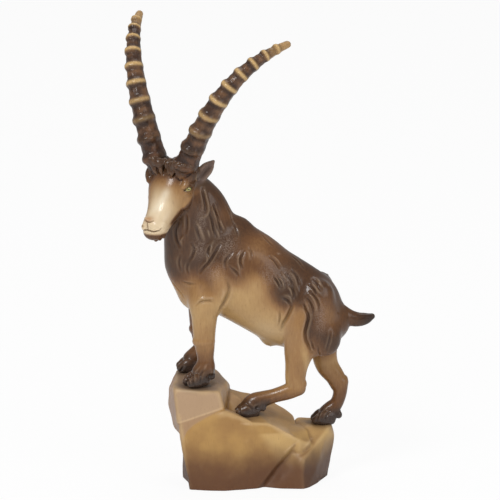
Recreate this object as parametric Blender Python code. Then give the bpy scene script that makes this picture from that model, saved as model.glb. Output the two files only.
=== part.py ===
# A carved wooden ibex that climbs a faceted rock, rock and animal cut from one block of wood.
# Sizes are in millimetres and MM turns them into metres. The animal faces -X, its near side is -Y,
# and the rock stands on z = 0.
import math

import bmesh
import bpy
import numpy as np
from mathutils import Matrix, Vector
from mathutils.bvhtree import BVHTree

MM = 0.001

# Rock
FRONT_TOP = 64.5
FRONT_TILT = 2.5
LEDGE_TOP = 43.5
REAR_TOP = 34.5
FACET_ROUNDING = 1.3

# Body. The cuts are drawn for an animal of the drawn height and move with the withers.
WITHERS_HEIGHT = 166.0
DRAWN_HEIGHT = 166.0
CHEST_HALF_WIDTH = 19.0
RUMP_HALF_WIDTH = 17.5
TAIL_LENGTH = 22.0
LEG_TRACK = 13.0
NEAR_FRONT_X = -28.2
FAR_FRONT_X = -30.5
CANNON_RADIUS = 4.7
HOOF_LENGTH = 12.0

# Head. The places on it are drawn for the drawn length and stretched to the head's own.
HEAD_LENGTH = 40.5
DRAWN_LENGTH = 40.5
HEAD_HALF_WIDTH = 14.8
HEAD_TURN = 56.0
HEAD_DROP = 45.0
HEAD_ROLL = 3.0
EAR_LENGTH = 17.5
EYE_RADIUS = 2.7
EYE_FORWARD = 9.0
FORELOCK_SIZE = 2.9

# Horns
HORN_RISE = 125.0
HORN_DROOP = 0.243
HORN_SPREAD = 51.0
HORN_SWEEP = 41.7
HORN_BASE_DEPTH = 8.0
HORN_BASE_WIDTH = 6.7
HORN_TIP_RADIUS = 2.0
HORN_GAP = 5.2
RIDGE_PITCH = 12.3
RIDGE_HEIGHT = 2.1

# Carving
FUR_CUT_DEPTH = 1.2
FUR_CUT_WIDTH = 1.7
CARVING_GRID = 1.0
ROUGH_GRID = 2.0
HORN_SIDES = 14
BODY_TRIANGLES = 8000

# Cuts drawn on the side view: x and z where a cut starts, its heading in degrees, length and bow.
MANE_CUTS = (
    (-28, 192, -96, 20, -4.1), (-24, 179, -73, 8, -0.6), (-19, 172, -62, 8, -0.7),
    (-22, 168, -72, 8, -0.4), (-28, 170, -76, 11, -0.6), (-38, 158, -82, 13, -2.9),
    (-27, 158, -62, 13, -0.9), (-46, 161, -92, 17, -2.5), (-42, 167, -86, 17, -2.5),
    (-33, 165, -88, 18, -2.8), (-45, 144, -80, 15, -2.8), (-37, 141, -83, 15, -3.1),
    (-29, 144, -83, 15, -2.8), (-17, 156, -86, 16, -2.4), (-36, 182, -87, 14, -2.8),
    (-43, 175, -94, 10, -2.1),
)
COAT_CUTS = (
    (-8, 156, -84, 19, -0.4), (-12, 142, -48, 7, 0.6), (-4, 158, -67, 6, -0.4),
    (-33, 119, 13, 7, 0.5), (-17, 126, -94, 9, -0.6), (13, 149, -49, 10, -0.9),
    (14, 136, -60, 10, -0.9), (19, 138, -53, 18, -2.0), (24, 128, -62, 8, -1.0),
    (20, 121, -46, 5, -0.9), (17, 112, -86, 9, -0.9), (4, 154, -51, 10, -0.9),
    (1, 139, -64, 10, -1.1), (37, 126, -65, 13, -1.5), (35, 120, -70, 8, -1.2),
    (38, 131, -52, 9, -0.9), (41, 134, -52, 9, -1.4), (47, 120, -73, 11, -1.1),
    (39, 92, -67, 6, 0.7), (29, 144, -46, 10, -1.1),
)
# Half thickness and half breadth of an ear at shares of its length.
EAR_LEAF = ((0.0, 2.3, 3.0), (0.28, 2.0, 3.9), (0.58, 1.7, 4.0), (0.84, 1.4, 2.9), (1.0, 1.0, 1.3))
# Locks of the forelock: where each starts and ends on the near half of the head, and its size.
FORELOCKS = (
    ((-1.0, 0.0, 11.2), (9.5, 0.5, 9.6), 1.0), ((-0.5, 4.6, 11.6), (11.5, 5.2, 8.4), 1.0),
    ((0.0, 9.6, 9.8), (11.0, 9.8, 6.6), 1.05), ((-1.0, 13.2, 6.4), (6.5, 12.8, 3.6), 0.85),
)


def clear_scene():
    for obj in list(bpy.data.objects):
        bpy.data.objects.remove(obj, do_unlink=True)


def wood_material(name, colour, roughness):
    material = bpy.data.materials.new(name)
    material.use_nodes = True
    shader = material.node_tree.nodes["Principled BSDF"]
    shader.inputs["Base Color"].default_value = (*colour, 1.0)
    shader.inputs["Roughness"].default_value = roughness
    shader.inputs["Metallic"].default_value = 0.0
    return material


def object_from(bm, name):
    mesh = bpy.data.meshes.new(name)
    bmesh.ops.recalc_face_normals(bm, faces=bm.faces)
    bm.to_mesh(mesh)
    bm.free()
    obj = bpy.data.objects.new(name, mesh)
    bpy.context.scene.collection.objects.link(obj)
    return obj


def evaluated_copy(obj, name):
    # The object's shape with its modifiers applied, as a plain mesh object in its place.
    graph = bpy.context.evaluated_depsgraph_get()
    mesh = bpy.data.meshes.new_from_object(obj.evaluated_get(graph))
    bpy.data.objects.remove(obj, do_unlink=True)
    mesh.name = name
    copy = bpy.data.objects.new(name, mesh)
    bpy.context.scene.collection.objects.link(copy)
    return copy


def smooth_rows(rows, steps):
    # A Catmull-Rom curve through the rows, each column alike.
    rows = np.asarray(rows, float)
    padded = np.vstack([2 * rows[0] - rows[1], rows, 2 * rows[-1] - rows[-2]])
    found = []
    for i in range(1, len(padded) - 2):
        before, start, end, after = padded[i - 1 : i + 3]
        for t in np.linspace(0, 1, steps, endpoint=False):
            found.append(
                0.5 * (2 * start + (end - before) * t
                       + (2 * before - 5 * start + 4 * end - after) * t**2
                       + (3 * start - before - 3 * end + after) * t**3)
            )
    found.append(rows[-1])
    return np.array(found)


def loft(bm, rings):
    # Rings of points, first and last closed by a fan to their middles.
    sides = len(rings[0])
    rows = [[bm.verts.new(point * MM) for point in ring] for ring in rings]
    for lower, upper in zip(rows, rows[1:]):
        for i in range(sides):
            j = (i + 1) % sides
            bm.faces.new((lower[i], lower[j], upper[j], upper[i]))
    for row, ring in ((rows[0][::-1], rings[0]), (rows[-1], rings[-1])):
        middle = bm.verts.new(np.mean(ring, axis=0) * MM)
        for i in range(sides):
            bm.faces.new((row[i], row[(i + 1) % sides], middle))


def limb(bm, rows, across=(0, 1, 0), sides=20, steps=4):
    # A rounded tube through rows of x, y, z, half depth in the side view and half width across.
    rows = smooth_rows(rows, steps)
    centres, depths, widths = rows[:, :3], rows[:, 3], rows[:, 4]
    tangents = np.gradient(centres, axis=0)
    tangents /= np.linalg.norm(tangents, axis=1)[:, None]
    stations = list(zip(centres, tangents, depths, widths))
    round_end = [(math.sin(a), math.cos(a)) for a in np.radians((28, 54, 76))]
    first, last = stations[0], stations[-1]
    start = [(first[0] - first[1] * min(first[2:]) * out, first[1], first[2] * size, first[3] * size)
             for out, size in round_end]
    end = [(last[0] + last[1] * min(last[2:]) * out, last[1], last[2] * size, last[3] * size)
           for out, size in round_end]
    angles = np.linspace(0, 2 * math.pi, sides, endpoint=False)
    rings = []
    for centre, tangent, depth, width in start[::-1] + stations + end:
        side = np.asarray(across, float)
        side = side - tangent * side.dot(tangent)
        side /= np.linalg.norm(side)
        upward = np.cross(tangent, side)
        rings.append(np.array([centre + side * width * math.cos(a) + upward * depth * math.sin(a)
                               for a in angles]))
    loft(bm, rings)


def swelling(bm, centre, radii, lean=0.0, turn=0.0):
    # An ellipsoid of muscle or bone, leaned about Y and then turned about Z.
    place = (Matrix.Translation(Vector(centre) * MM)
             @ Matrix.Rotation(math.radians(turn), 4, "Z")
             @ Matrix.Rotation(math.radians(lean), 4, "Y")
             @ Matrix.Diagonal((*(Vector(radii) * MM), 1.0)))
    bmesh.ops.create_icosphere(bm, subdivisions=3, radius=1.0, matrix=place)


# The head's own frame: forward along the muzzle, left towards the near side, up from the brow.
HEAD_CENTRE = Vector((-46.0, -4.0, WITHERS_HEIGHT + 31.0))
HEAD_AXES = (Matrix.Rotation(math.radians(HEAD_TURN), 3, "Z")
             @ Matrix.Rotation(math.radians(-HEAD_DROP), 3, "Y")
             @ Matrix.Rotation(math.radians(HEAD_ROLL), 3, "X"))
HORN_AXES = (Matrix.Rotation(math.radians(HEAD_TURN), 3, "Z")
             @ Matrix.Rotation(math.radians(HEAD_ROLL), 3, "X"))


def eye_place(side):
    return EYE_FORWARD, side * (HEAD_HALF_WIDTH - 1.7), 0.5


def ear_point(side, share):
    reach = EAR_LENGTH * share
    return on_head(0.5 - 0.81 * reach, side * (HEAD_HALF_WIDTH * 0.84 + 0.5 * reach), -4.5 + 0.25 * reach)


def ear_hollow(side):
    return head_vector(0.5, side * 0.7, 0.5)


def on_head(forward, left, up):
    stretch = HEAD_LENGTH / DRAWN_LENGTH
    return HEAD_CENTRE + HEAD_AXES @ Vector((-forward * stretch, -left, up * stretch))


def head_vector(forward, left, up):
    return HEAD_AXES @ Vector((-forward, -left, up))


def add_torso(bm):
    top = WITHERS_HEIGHT
    chest, rump = CHEST_HALF_WIDTH, RUMP_HALF_WIDTH
    limb(bm, (
        (-38, 0, top - 31, 17, chest * 0.66),
        (-29, 0, top - 28, 26, chest * 0.86),
        (-17.5, 0, top - 28, 29.5, chest * 0.97),
        (-5.6, 0, top - 33.5, 30, chest),
        (8.7, 0, top - 43, 28.5, chest),
        (24.8, 0, top - 52.5, 28, rump),
        (38.0, 0, top - 58.5, 25.5, rump * 0.98),
        (47, 0, top - 62.5, 20, rump * 0.82),
        (53, 0, top - 65, 13, rump * 0.55),
    ), sides=28)
    swelling(bm, (10.5, 0, top - 77.5), (5.5, 3.2, 3), lean=30)
    swelling(bm, (-7, 0, top - 11), (19, 9, 11), lean=38)
    swelling(bm, (-6, 0, top - 5), (11, 7, 8), lean=38)
    swelling(bm, (-17, -chest * 0.62, top - 34), (13, 8, 21), lean=-25)
    swelling(bm, (-17, chest * 0.62, top - 34), (13, 8, 21), lean=-25)
    swelling(bm, (39, -rump * 0.62, top - 53), (13, 8, 20), lean=20)
    swelling(bm, (41, rump * 0.62, top - 54), (13, 8, 20), lean=10)


def add_neck(bm):
    top = WITHERS_HEIGHT
    limb(bm, (
        (-27, 0, top - 44, 19, 14.5),
        (-28.5, 0, top - 28, 24.5, 16),
        (-30, -1, top - 14, 23.8, 15),
        (-31, -2, top - 2.5, 22.8, 13.5),
        (-32.8, -3, top + 9, 19.6, 12.5),
        (-35.8, -3.5, top + 18, 15.6, 11.5),
        (-39, -3.5, top + 25, 11.5, 9.5),
    ), sides=28)


def add_head(bm):
    width, stretch = HEAD_HALF_WIDTH, HEAD_LENGTH / DRAWN_LENGTH
    profile = (
        (-0.17, -2.5, 7, 0.62),
        (-0.06, -1.5, 10, 0.88),
        (0.09, -1.2, 12, 1.0),
        (0.28, -3.2, 12.2, 0.97),
        (0.46, -5.0, 10.6, 0.82),
        (0.65, -5.6, 9.0, 0.66),
        (0.80, -5.4, 8.0, 0.58),
        (0.92, -5.2, 7.2, 0.56),
        (0.985, -5.6, 5.0, 0.44),
    )
    rows = [(*on_head(share * DRAWN_LENGTH, 0, rise), depth * stretch, half * width)
            for share, rise, depth, half in profile]
    limb(bm, rows, across=head_vector(0, 1, 0), sides=24)


def between(ground, top, share):
    return ground + (top - ground) * share


def add_hoof(bm, heel, heading, ground):
    # Two toes side by side, flat below, with the cleft between them, and dewclaws behind.
    forward = Vector((math.cos(math.radians(heading)), math.sin(math.radians(heading)), 0))
    side = Vector((-forward.y, forward.x, 0))
    heel = Vector((heel[0], heel[1], ground))
    for sign in (-1, 1):
        start = heel + side * sign * 2.6 + Vector((0, 0, 4.4))
        middle = start + forward * HOOF_LENGTH * 0.5 + side * sign * 1.0 - Vector((0, 0, 0.4))
        tip = start + forward * HOOF_LENGTH * 0.85 + side * sign * 0.5 - Vector((0, 0, 1.9))
        limb(bm, ((*start, 5.0, 3.1), (*middle, 4.5, 3.0), (*tip, 2.7, 2.2)),
             across=side, sides=14, steps=3)
        claw = heel - forward * 4.2 + side * sign * 2.8 + Vector((0, 0, 6.2))
        swelling(bm, claw, (2.3, 1.9, 2.9), lean=20, turn=heading)


def add_front_legs(bm):
    # Straight legs from the elbow to the front block, the hooves set forward of them.
    top = WITHERS_HEIGHT - 45
    r = CANNON_RADIUS
    column = (
        (3.5, 1.09, 13.0, 8.5),
        (0.3, 0.98, 10.5, 7.4),
        (0.0, 0.80, 8.4, 6.4),
        (-0.2, 0.64, r + 2.6, r + 1.1),
        (-0.1, 0.51, r + 2.0, r + 0.7),
        (0.3, 0.41, r + 1.3, r + 0.2),
        (0.6, 0.30, r + 0.5, r - 0.2),
    )
    near_foot = ((0.4, 0.21, r + 1.6, r + 0.7), (-1.6, 0.13, r + 2.0, r + 1.2))
    far_foot = ((-1.2, 0.21, r + 1.3, r + 0.5), (-6.0, 0.13, r + 1.0, r + 0.6))
    for side, x, ground, foot in ((-1, NEAR_FRONT_X, FRONT_TOP, near_foot),
                                  (1, FAR_FRONT_X, FRONT_TOP + FRONT_TILT, far_foot)):
        y = side * LEG_TRACK
        limb(bm, [(x + dx, y * min(1.0, 1.62 - share * 0.8), between(ground, top, share), deep, wide)
                  for dx, share, deep, wide in column + foot], sides=18)
        swelling(bm, (x - 0.5, y, between(ground, top, 0.50)), (r + 2.5, r + 1.2, 5.0))
        swelling(bm, (x + 2.5, y, between(ground, top, 0.20)), (3.2, 3.0, 3.6), lean=25)
        if side < 0:
            add_hoof(bm, (x - 1.0, y + 1.0), 208, ground)
        else:
            add_hoof(bm, (x - 3.0, y), 184, ground)


def add_near_hind_leg(bm):
    # Thigh and gaskin down to the hock, then the cannon reaching forward onto the ledge.
    stifle = WITHERS_HEIGHT - 59.5
    ground = LEDGE_TOP + 1.2
    r = CANNON_RADIUS
    y = -LEG_TRACK

    def row(x, share, deep, wide, inward=0.0):
        return (x, y + inward, between(ground, stifle, share), deep, wide)

    limb(bm, (
        row(37.5, 1.0, 14.5, 9.0, 4.0),
        row(33.5, 0.83, 12.8, 7.8, 1.2),
        row(30.6, 0.67, 9.8, 6.6),
        row(29.0, 0.53, 7.3, 5.6),
        row(28.2, 0.41, r + 1.8, r + 0.4),
        row(28.4, 0.32, r + 1.5, r),
    ), sides=18)
    limb(bm, (
        row(30.0, 0.30, r + 0.8, r - 0.1),
        row(23.5, 0.252, r + 0.4, r - 0.2),
        row(15.0, 0.208, r - 0.2, r - 0.6),
        row(8.7, 0.177, r + 0.4, r - 0.2),
        row(2.8, 0.140, r + 1.3, r + 0.6),
        row(-0.8, 0.090, r + 1.0, r + 0.9),
    ), sides=18)
    swelling(bm, (32.0, y, between(ground, stifle, 0.325)), (3.2, 3.4, 3.8), lean=30)
    add_hoof(bm, (3.0, y), 188, ground)


def add_far_hind_leg(bm):
    # Thigh back to the hock, then the cannon down to the low block behind.
    stifle = WITHERS_HEIGHT - 75
    ground = REAR_TOP
    r = CANNON_RADIUS
    y = LEG_TRACK * 0.62

    def row(x, share, deep, wide, inward=0.0):
        return (x, y + inward, between(ground, stifle, share), deep, wide)

    limb(bm, (
        row(44.0, 1.22, 13.5, 8.6, -1.0),
        row(46.3, 1.0, 9.6, 7.2),
        row(46.2, 0.80, 8.0, 6.4),
        row(48.2, 0.655, 7.2, 5.4),
        row(52.8, 0.535, r + 1.4, r + 0.1),
        row(55.8, 0.435, r + 1.0, r - 0.2),
    ), sides=18)
    limb(bm, (
        row(56.6, 0.47, r + 0.2, r - 0.3),
        row(56.0, 0.335, r - 0.4, r - 0.8),
        row(54.2, 0.235, r - 0.5, r - 0.8),
        row(51.0, 0.165, r + 0.4, r - 0.1),
        row(47.5, 0.115, r + 0.2, r),
    ), sides=18)
    swelling(bm, (58.6, y, between(ground, stifle, 0.475)), (2.6, 3.2, 4.0), lean=10)
    add_hoof(bm, (50.5, y), 186, ground)


def add_thighs(bm):
    # The upper legs where they run into the shoulder, belly and rump.
    top = WITHERS_HEIGHT
    limb(bm, ((-24, -8, top - 36, 13, 8.5), (NEAR_FRONT_X + 0.3, -LEG_TRACK, top - 47, 11, 7.6),
              (NEAR_FRONT_X, -LEG_TRACK, top - 57, 9, 6.8)))
    limb(bm, ((-24, 8, top - 36, 13, 8.5), (FAR_FRONT_X + 0.3, LEG_TRACK, top - 47, 11, 7.6),
              (FAR_FRONT_X, LEG_TRACK, top - 57, 9, 6.8)))
    limb(bm, ((40, -9, top - 52, 16, 9), (35.5, -LEG_TRACK + 1, top - 66, 13.5, 8.4),
              (31.5, -LEG_TRACK, top - 79, 10.5, 7.0)))
    limb(bm, ((43, 8, top - 56, 15, 9), (45.5, 8.5, top - 70, 11.5, 8.0),
              (46.0, 8.2, top - 84, 9.0, 6.8)))


def add_tail(bm):
    root = WITHERS_HEIGHT - 58
    limb(bm, [(54.5 + share * TAIL_LENGTH, 0, root - drop, deep, wide)
              for share, drop, deep, wide in (
                  (0.0, 0.0, 6.2, 5.4),
                  (0.3, 3.4, 5.2, 4.4),
                  (0.56, 4.8, 4.6, 3.7),
                  (0.8, 4.2, 3.7, 3.0),
                  (0.97, 2.8, 2.0, 1.9),
              )], sides=14)


def add_ears(bm):
    # Leaf-shaped ears laid out and back, thin, with the hollow of each leaf to the front.
    for side in (1, -1):
        rows = []
        for share, thin, broad in EAR_LEAF:
            rows.append((*ear_point(side, share), thin, broad))
        axis = ear_point(side, 1) - ear_point(side, 0)
        limb(bm, rows, across=ear_hollow(side).cross(axis), sides=14)


def add_lock(bm, start, end, size, side):
    # A lock of hair that lies on the brow and tapers to a point.
    middle = [0.45 * a + 0.55 * b for a, b in zip(start, end)]
    middle[2] += 0.5 * size
    rows = [(*on_head(forward, side * left, up), share * size, share * size)
            for (forward, left, up), share in ((start, 1.0), (middle, 0.85), (end, 0.35))]
    limb(bm, rows, sides=10)


def add_face(bm):
    # Brows, eyeballs, cheeks, the nose pad, the short beard and the forelock between the horns.
    for side in (1, -1):
        eye = on_head(*eye_place(side))
        swelling(bm, eye, (EYE_RADIUS, EYE_RADIUS, EYE_RADIUS))
        swelling(bm, on_head(EYE_FORWARD - 2.0, side * (HEAD_HALF_WIDTH - 2.6), 4.0), (4.6, 2.8, 2.2),
                 lean=-HEAD_DROP, turn=HEAD_TURN)
        swelling(bm, on_head(-0.5, side * 9.6, 3.8), (8.6, 7.8, 8.2), lean=-HEAD_DROP, turn=HEAD_TURN)
        swelling(bm, on_head(35.6, side * 3.6, -2.6), (3.4, 2.7, 2.7), lean=-HEAD_DROP, turn=HEAD_TURN)
        for start, end, size in FORELOCKS:
            add_lock(bm, start, end, size * FORELOCK_SIZE, side)
    swelling(bm, on_head(39.3, 0, -2.4), (2.4, 3.2, 2.6), lean=-HEAD_DROP, turn=HEAD_TURN)
    chin = on_head(34.8, 0, -10.5)
    limb(bm, [(*(chin + Vector(step)), deep, wide) for step, deep, wide in (
        ((1.0, 1.0, 1.5), 4.2, 4.2),
        ((0.5, 0.6, -1.5), 4.0, 4.0),
        ((-0.2, 0.2, -4.0), 2.6, 2.8),
    )], across=head_vector(0, 1, 0), sides=14)


def remeshed(obj, grid, rubs):
    # One skin over all the overlapping masses, with its steps rubbed smooth.
    remesh = obj.modifiers.new("one_skin", "REMESH")
    remesh.mode = "VOXEL"
    remesh.voxel_size = grid * MM
    rub = obj.modifiers.new("rubbed_smooth", "SMOOTH")
    rub.factor = 0.5
    rub.iterations = rubs
    return evaluated_copy(obj, obj.name)


def build_body():
    # The large masses run softly into each other, so they are rubbed down before the rest joins.
    masses = bmesh.new()
    add_torso(masses)
    add_neck(masses)
    add_thighs(masses)
    rough = remeshed(object_from(masses, "rough_masses"), ROUGH_GRID, 16)
    bm = bmesh.new()
    bm.from_mesh(rough.data)
    bpy.data.objects.remove(rough, do_unlink=True)
    add_head(bm)
    add_face(bm)
    add_ears(bm)
    add_front_legs(bm)
    add_near_hind_leg(bm)
    add_far_hind_leg(bm)
    add_tail(bm)
    return remeshed(object_from(bm, "ibex_body"), CARVING_GRID, 4)


def add_horn(bm, side):
    # A ringed horn, swept up, out and back, its knobs boldest on the front.
    root = on_head(9.5, 0, -1.7)
    spine = np.array([
        root + HORN_AXES @ Vector((HORN_SWEEP * t**3 - 2.0 * math.sin(math.pi * t),
                                   -side * (HORN_GAP + HORN_SPREAD * t**1.05),
                                   HORN_RISE * (t - HORN_DROOP * t**3)))
        for t in np.linspace(0.0, 1.0, 240)])
    run = np.concatenate([[0], np.cumsum(np.linalg.norm(np.diff(spine, axis=0), axis=1))])
    length = run[-1]
    stations = [(0.0, 0.0)]
    crest = RIDGE_PITCH * 1.5
    while crest < length - 5:
        share = crest / length
        pitch = RIDGE_PITCH * (1.0 - 0.42 * share**2)
        stations += [(crest + pitch * offset, bump * (1 - 0.45 * share))
                     for offset, bump in ((-0.46, 0.0), (-0.2, 0.12), (-0.04, 1.0), (0.14, 0.9))]
        crest += pitch
    stations += [(length - 2.0, 0.0), (length, 0.0)]
    front = HORN_AXES @ Vector((-1.0, 0.0, 0.25))
    angles = np.linspace(0, 2 * math.pi, HORN_SIDES, endpoint=False)
    rings = []
    for place, bump in stations:
        centre = np.array([np.interp(place, run, spine[:, k]) for k in range(3)])
        ahead = np.array([np.interp(min(place + 1.5, length), run, spine[:, k])
                          - np.interp(max(place - 1.5, 0), run, spine[:, k]) for k in range(3)])
        tangent = ahead / np.linalg.norm(ahead)
        forward = np.asarray(front) - tangent * tangent.dot(front)
        forward /= np.linalg.norm(forward)
        sideways = np.cross(tangent, forward)
        slim = min(1 - (place / length) ** 1.9, 0.6 + 0.06 * place)
        tip = HORN_TIP_RADIUS * (0.55 if place == length else 1.0)
        depth = tip + (HORN_BASE_DEPTH - HORN_TIP_RADIUS) * slim
        width = tip + (HORN_BASE_WIDTH - HORN_TIP_RADIUS) * slim
        ring = []
        for angle in angles:
            knob = bump * RIDGE_HEIGHT * (0.15 + 0.85 * (0.5 + 0.5 * math.cos(angle)) ** 1.3)
            ring.append(centre + forward * (depth + knob) * math.cos(angle)
                        + sideways * (width + knob) * math.sin(angle))
        rings.append(np.array(ring))
    loft(bm, rings)


def boulder(name, corners):
    # A faceted block of stone, its edges sanded round.
    bm = bmesh.new()
    for corner in corners:
        bm.verts.new(Vector(corner) * MM)
    found = bmesh.ops.convex_hull(bm, input=bm.verts)
    loose = {item for item in found["geom_interior"] + found["geom_unused"]
             if isinstance(item, bmesh.types.BMVert)}
    bmesh.ops.delete(bm, geom=list(loose), context="VERTS")
    bmesh.ops.dissolve_limit(bm, angle_limit=math.radians(9), verts=bm.verts, edges=bm.edges)
    bmesh.ops.bevel(bm, geom=bm.edges[:], offset=FACET_ROUNDING * MM, segments=2, profile=0.5,
                    affect="EDGES", clamp_overlap=True)
    bmesh.ops.triangulate(bm, faces=bm.faces)
    return object_from(bm, name)


def sawn_off(obj):
    # The rock cut flat at z = 0.
    bm = bmesh.new()
    bm.from_mesh(obj.data)
    bpy.data.objects.remove(obj, do_unlink=True)
    everything = bm.verts[:] + bm.edges[:] + bm.faces[:]
    cut = bmesh.ops.bisect_plane(bm, geom=everything, plane_co=(0, 0, 0), plane_no=(0, 0, -1),
                                 clear_outer=True)
    rim = [item for item in cut["geom_cut"] if isinstance(item, bmesh.types.BMEdge)]
    bmesh.ops.edgeloop_fill(bm, edges=rim)
    bmesh.ops.triangulate(bm, faces=bm.faces)
    return object_from(bm, "rock")


def front_level(y):
    return FRONT_TOP + (y + LEG_TRACK) * FRONT_TILT / (2 * LEG_TRACK)


def build_rock():
    # The blocks are sawn off flat at z = 0, so their lowest corners lie below it.
    top, ledge, rear, under = FRONT_TOP, LEDGE_TOP, REAR_TOP, -8
    front = boulder("front_block", (
        (-47.5, -20, front_level(-20)), (-32, -22.5, front_level(-22.5)),
        (-19, -20, front_level(-20) - 1.5), (-13.5, 6, top - 3.2),
        (-23, 21, front_level(21)), (-45.5, 19, front_level(19)),
        (-51, 2, top * 0.92), (-51, 4, top * 0.74), (-47.5, 0, top * 0.52), (-41.5, -5, top * 0.42),
        (-45, -24.5, top * 0.67), (-36, -25, top * 0.62), (-16, -23, top * 0.80),
        (-12, 24, top * 0.86), (-48, 21, top * 0.72), (-38, 22, top * 0.38), (-10, 20, top * 0.45),
    ))
    main = boulder("main_block", (
        (-9, -19, ledge + 2), (4, -24, ledge - 0.6), (12, -22.5, ledge - 1.4), (29.5, -16.8, ledge * 0.71),
        (-16, 8, top * 0.90), (-1, 21, ledge + 6), (15.5, 20, ledge + 1.5), (22, 16, ledge - 2),
        (27, 14, ledge - 6), (-36, -18, ledge * 0.72), (-42, -5, ledge * 0.62),
        (-42.3, 9, under), (-34, -21, under), (-19, -25, under), (-2, -22.5, under),
        (4, -16.5, under), (30, 6, under), (30, 24, under), (-38, 26, under), (-30, 24, ledge),
    ))
    middle = boulder("middle_block", (
        (-44.5, -25, ledge - 1), (-15.5, -23.8, ledge + 7.1), (3.4, -24.2, ledge - 0.3),
        (-14, -15, ledge + 6.5), (-40, -8, ledge + 0.5), (-36.8, -24, under), (-19, -26.8, under),
        (-2.3, -22.8, under), (-36, 0, under), (-8, 0, under),
    ))
    right = boulder("rear_block", (
        (34, 0, rear), (51, 2, rear), (29, 20, rear + 0.6), (49, 20, rear + 0.6),
        (53, 9, rear * 0.74), (50.5, 7, rear * 0.3), (47, 12, under), (33.5, -23.5, under),
        (15, -21.8, under), (3.5, -18.5, under), (39, -13, rear * 0.72), (33, -20.5, rear * 0.54),
        (28, -4, rear * 0.86), (21, -11, rear * 0.72), (46, 25, under), (10, 25, under),
    ))
    return main, (front, middle, right)


def joined(base, others):
    # Boolean unions, one after another, that leave a single closed solid.
    for other in others:
        union = base.modifiers.new("with_" + other.name, "BOOLEAN")
        union.operation = "UNION"
        union.solver = "EXACT"
        union.object = other
        base = evaluated_copy(base, base.name)
        bpy.data.objects.remove(other, do_unlink=True)
    return base


def surface_arrays(mesh):
    points = np.empty(len(mesh.vertices) * 3)
    mesh.vertices.foreach_get("co", points)
    normals = np.empty(len(mesh.vertices) * 3)
    mesh.vertices.foreach_get("normal", normals)
    return points.reshape(-1, 3) / MM, normals.reshape(-1, 3)


def distance_to_path(points, path):
    # Distance of every point from a path, and how far along it the nearest place lies, 0 to 1.
    best = np.full(len(points), np.inf)
    along = np.zeros(len(points))
    spans = len(path) - 1
    for i in range(spans):
        start, run = path[i], path[i + 1] - path[i]
        share = np.clip((points - start) @ run / max(run @ run, 1e-9), 0, 1)
        gap = np.linalg.norm(points - start - share[:, None] * run, axis=1)
        nearer = gap < best
        best[nearer] = gap[nearer]
        along[nearer] = (i + share[nearer]) / spans
    return best, along


def gouge(points, normals, path, width, depth):
    # A cut that tapers to both ends, with the wood standing a little proud along its sides.
    gap, along = distance_to_path(points, path)
    taper = np.sin(np.pi * np.clip(along, 0.04, 0.96)) ** 0.6
    cut = np.exp(-((gap / width) ** 2))
    lip = np.exp(-(((gap - 2.1 * width) / width) ** 2))
    points += normals * ((0.3 * lip - cut) * depth * taper)[:, None]


def flank_path(skin, stroke, side):
    # A stroke drawn on the side view and pressed onto the flank that faces that side.
    x, z, heading, length, bend = stroke
    z += WITHERS_HEIGHT - DRAWN_HEIGHT
    along = np.array((math.cos(math.radians(heading)), math.sin(math.radians(heading))))
    normal = np.array((along[1], -along[0]))
    path = []
    for share in np.linspace(0, 1, 7):
        bow = 4 * share * (1 - share) * bend
        px, pz = np.array((x, z)) + along * length * share + normal * bow
        hit = skin.ray_cast(Vector((px, side * 80, pz)) * MM, Vector((0, -side, 0)))[0]
        if hit is not None:
            path.append(np.array(hit) / MM)
    return np.array(path)


def surface_path(skin, points, steps=4):
    # A smooth path through the points, laid onto the nearest skin.
    rows = smooth_rows([tuple(point) for point in points], steps)
    return np.array([np.array(skin.find_nearest(Vector(row) * MM)[0]) / MM for row in rows])


def carve(obj):
    # All gouge cuts on the animal: the coat on both flanks, then the face, ears and hooves.
    points, normals = surface_arrays(obj.data)
    skin = BVHTree.FromPolygons([Vector(point) * MM for point in points],
                                [tuple(face.vertices) for face in obj.data.polygons])
    cuts = []
    for stroke in MANE_CUTS + COAT_CUTS:
        for side in (-1, 1):
            path = flank_path(skin, stroke, side)
            if len(path) > 2:
                cuts.append((path, FUR_CUT_WIDTH, FUR_CUT_DEPTH))
    nose = DRAWN_LENGTH
    for side in (1, -1):
        eye = Vector(eye_place(side))
        ring = [on_head(eye.x + 3.7 * math.cos(a), eye.y, eye.z + 2.5 * math.sin(a))
                for a in np.linspace(0, 2 * math.pi, 9)]
        straight_in = np.tile(head_vector(0.0, side, 0.15), (len(points), 1))
        gouge(points, straight_in, surface_path(skin, ring), 0.8, 0.8)
        cuts.append((surface_path(skin, (on_head(nose + 1.5, side * 0.6, -7.6),
                                         on_head(nose * 0.92, side * 5.5, -8.2),
                                         on_head(nose * 0.76, side * 8.0, -9.6))), 0.9, 1.2))
        cuts.append((surface_path(skin, (on_head(nose + 1.0, side * 1.6, -3.6),
                                         on_head(nose * 0.95, side * 4.2, -2.6),
                                         on_head(nose * 0.88, side * 5.6, -1.2))), 0.9, 1.1))
        front = [ear_point(side, share) + 2.5 * ear_hollow(side) for share in (0.15, 0.4, 0.65, 0.9)]
        cuts.append((surface_path(skin, front), 2.0, 1.5))
    cuts.append((surface_path(skin, (on_head(nose + 2, 0, -4.4), on_head(nose + 2, 0, -7.4))), 0.7, 0.8))
    for path, width, depth in cuts:
        gouge(points, normals, path, width, depth)
    obj.data.vertices.foreach_set("co", (points * MM).ravel())
    obj.data.update()


def build_hard_parts():
    # Horns and rock keep their crisp edges, so they skip the soft skin.
    shells = bmesh.new()
    add_horn(shells, 1)
    add_horn(shells, -1)
    main, others = build_rock()
    rock = sawn_off(joined(main, others))
    shells.from_mesh(rock.data)
    bpy.data.objects.remove(rock, do_unlink=True)
    return object_from(shells, "horns_and_rock")


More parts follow.
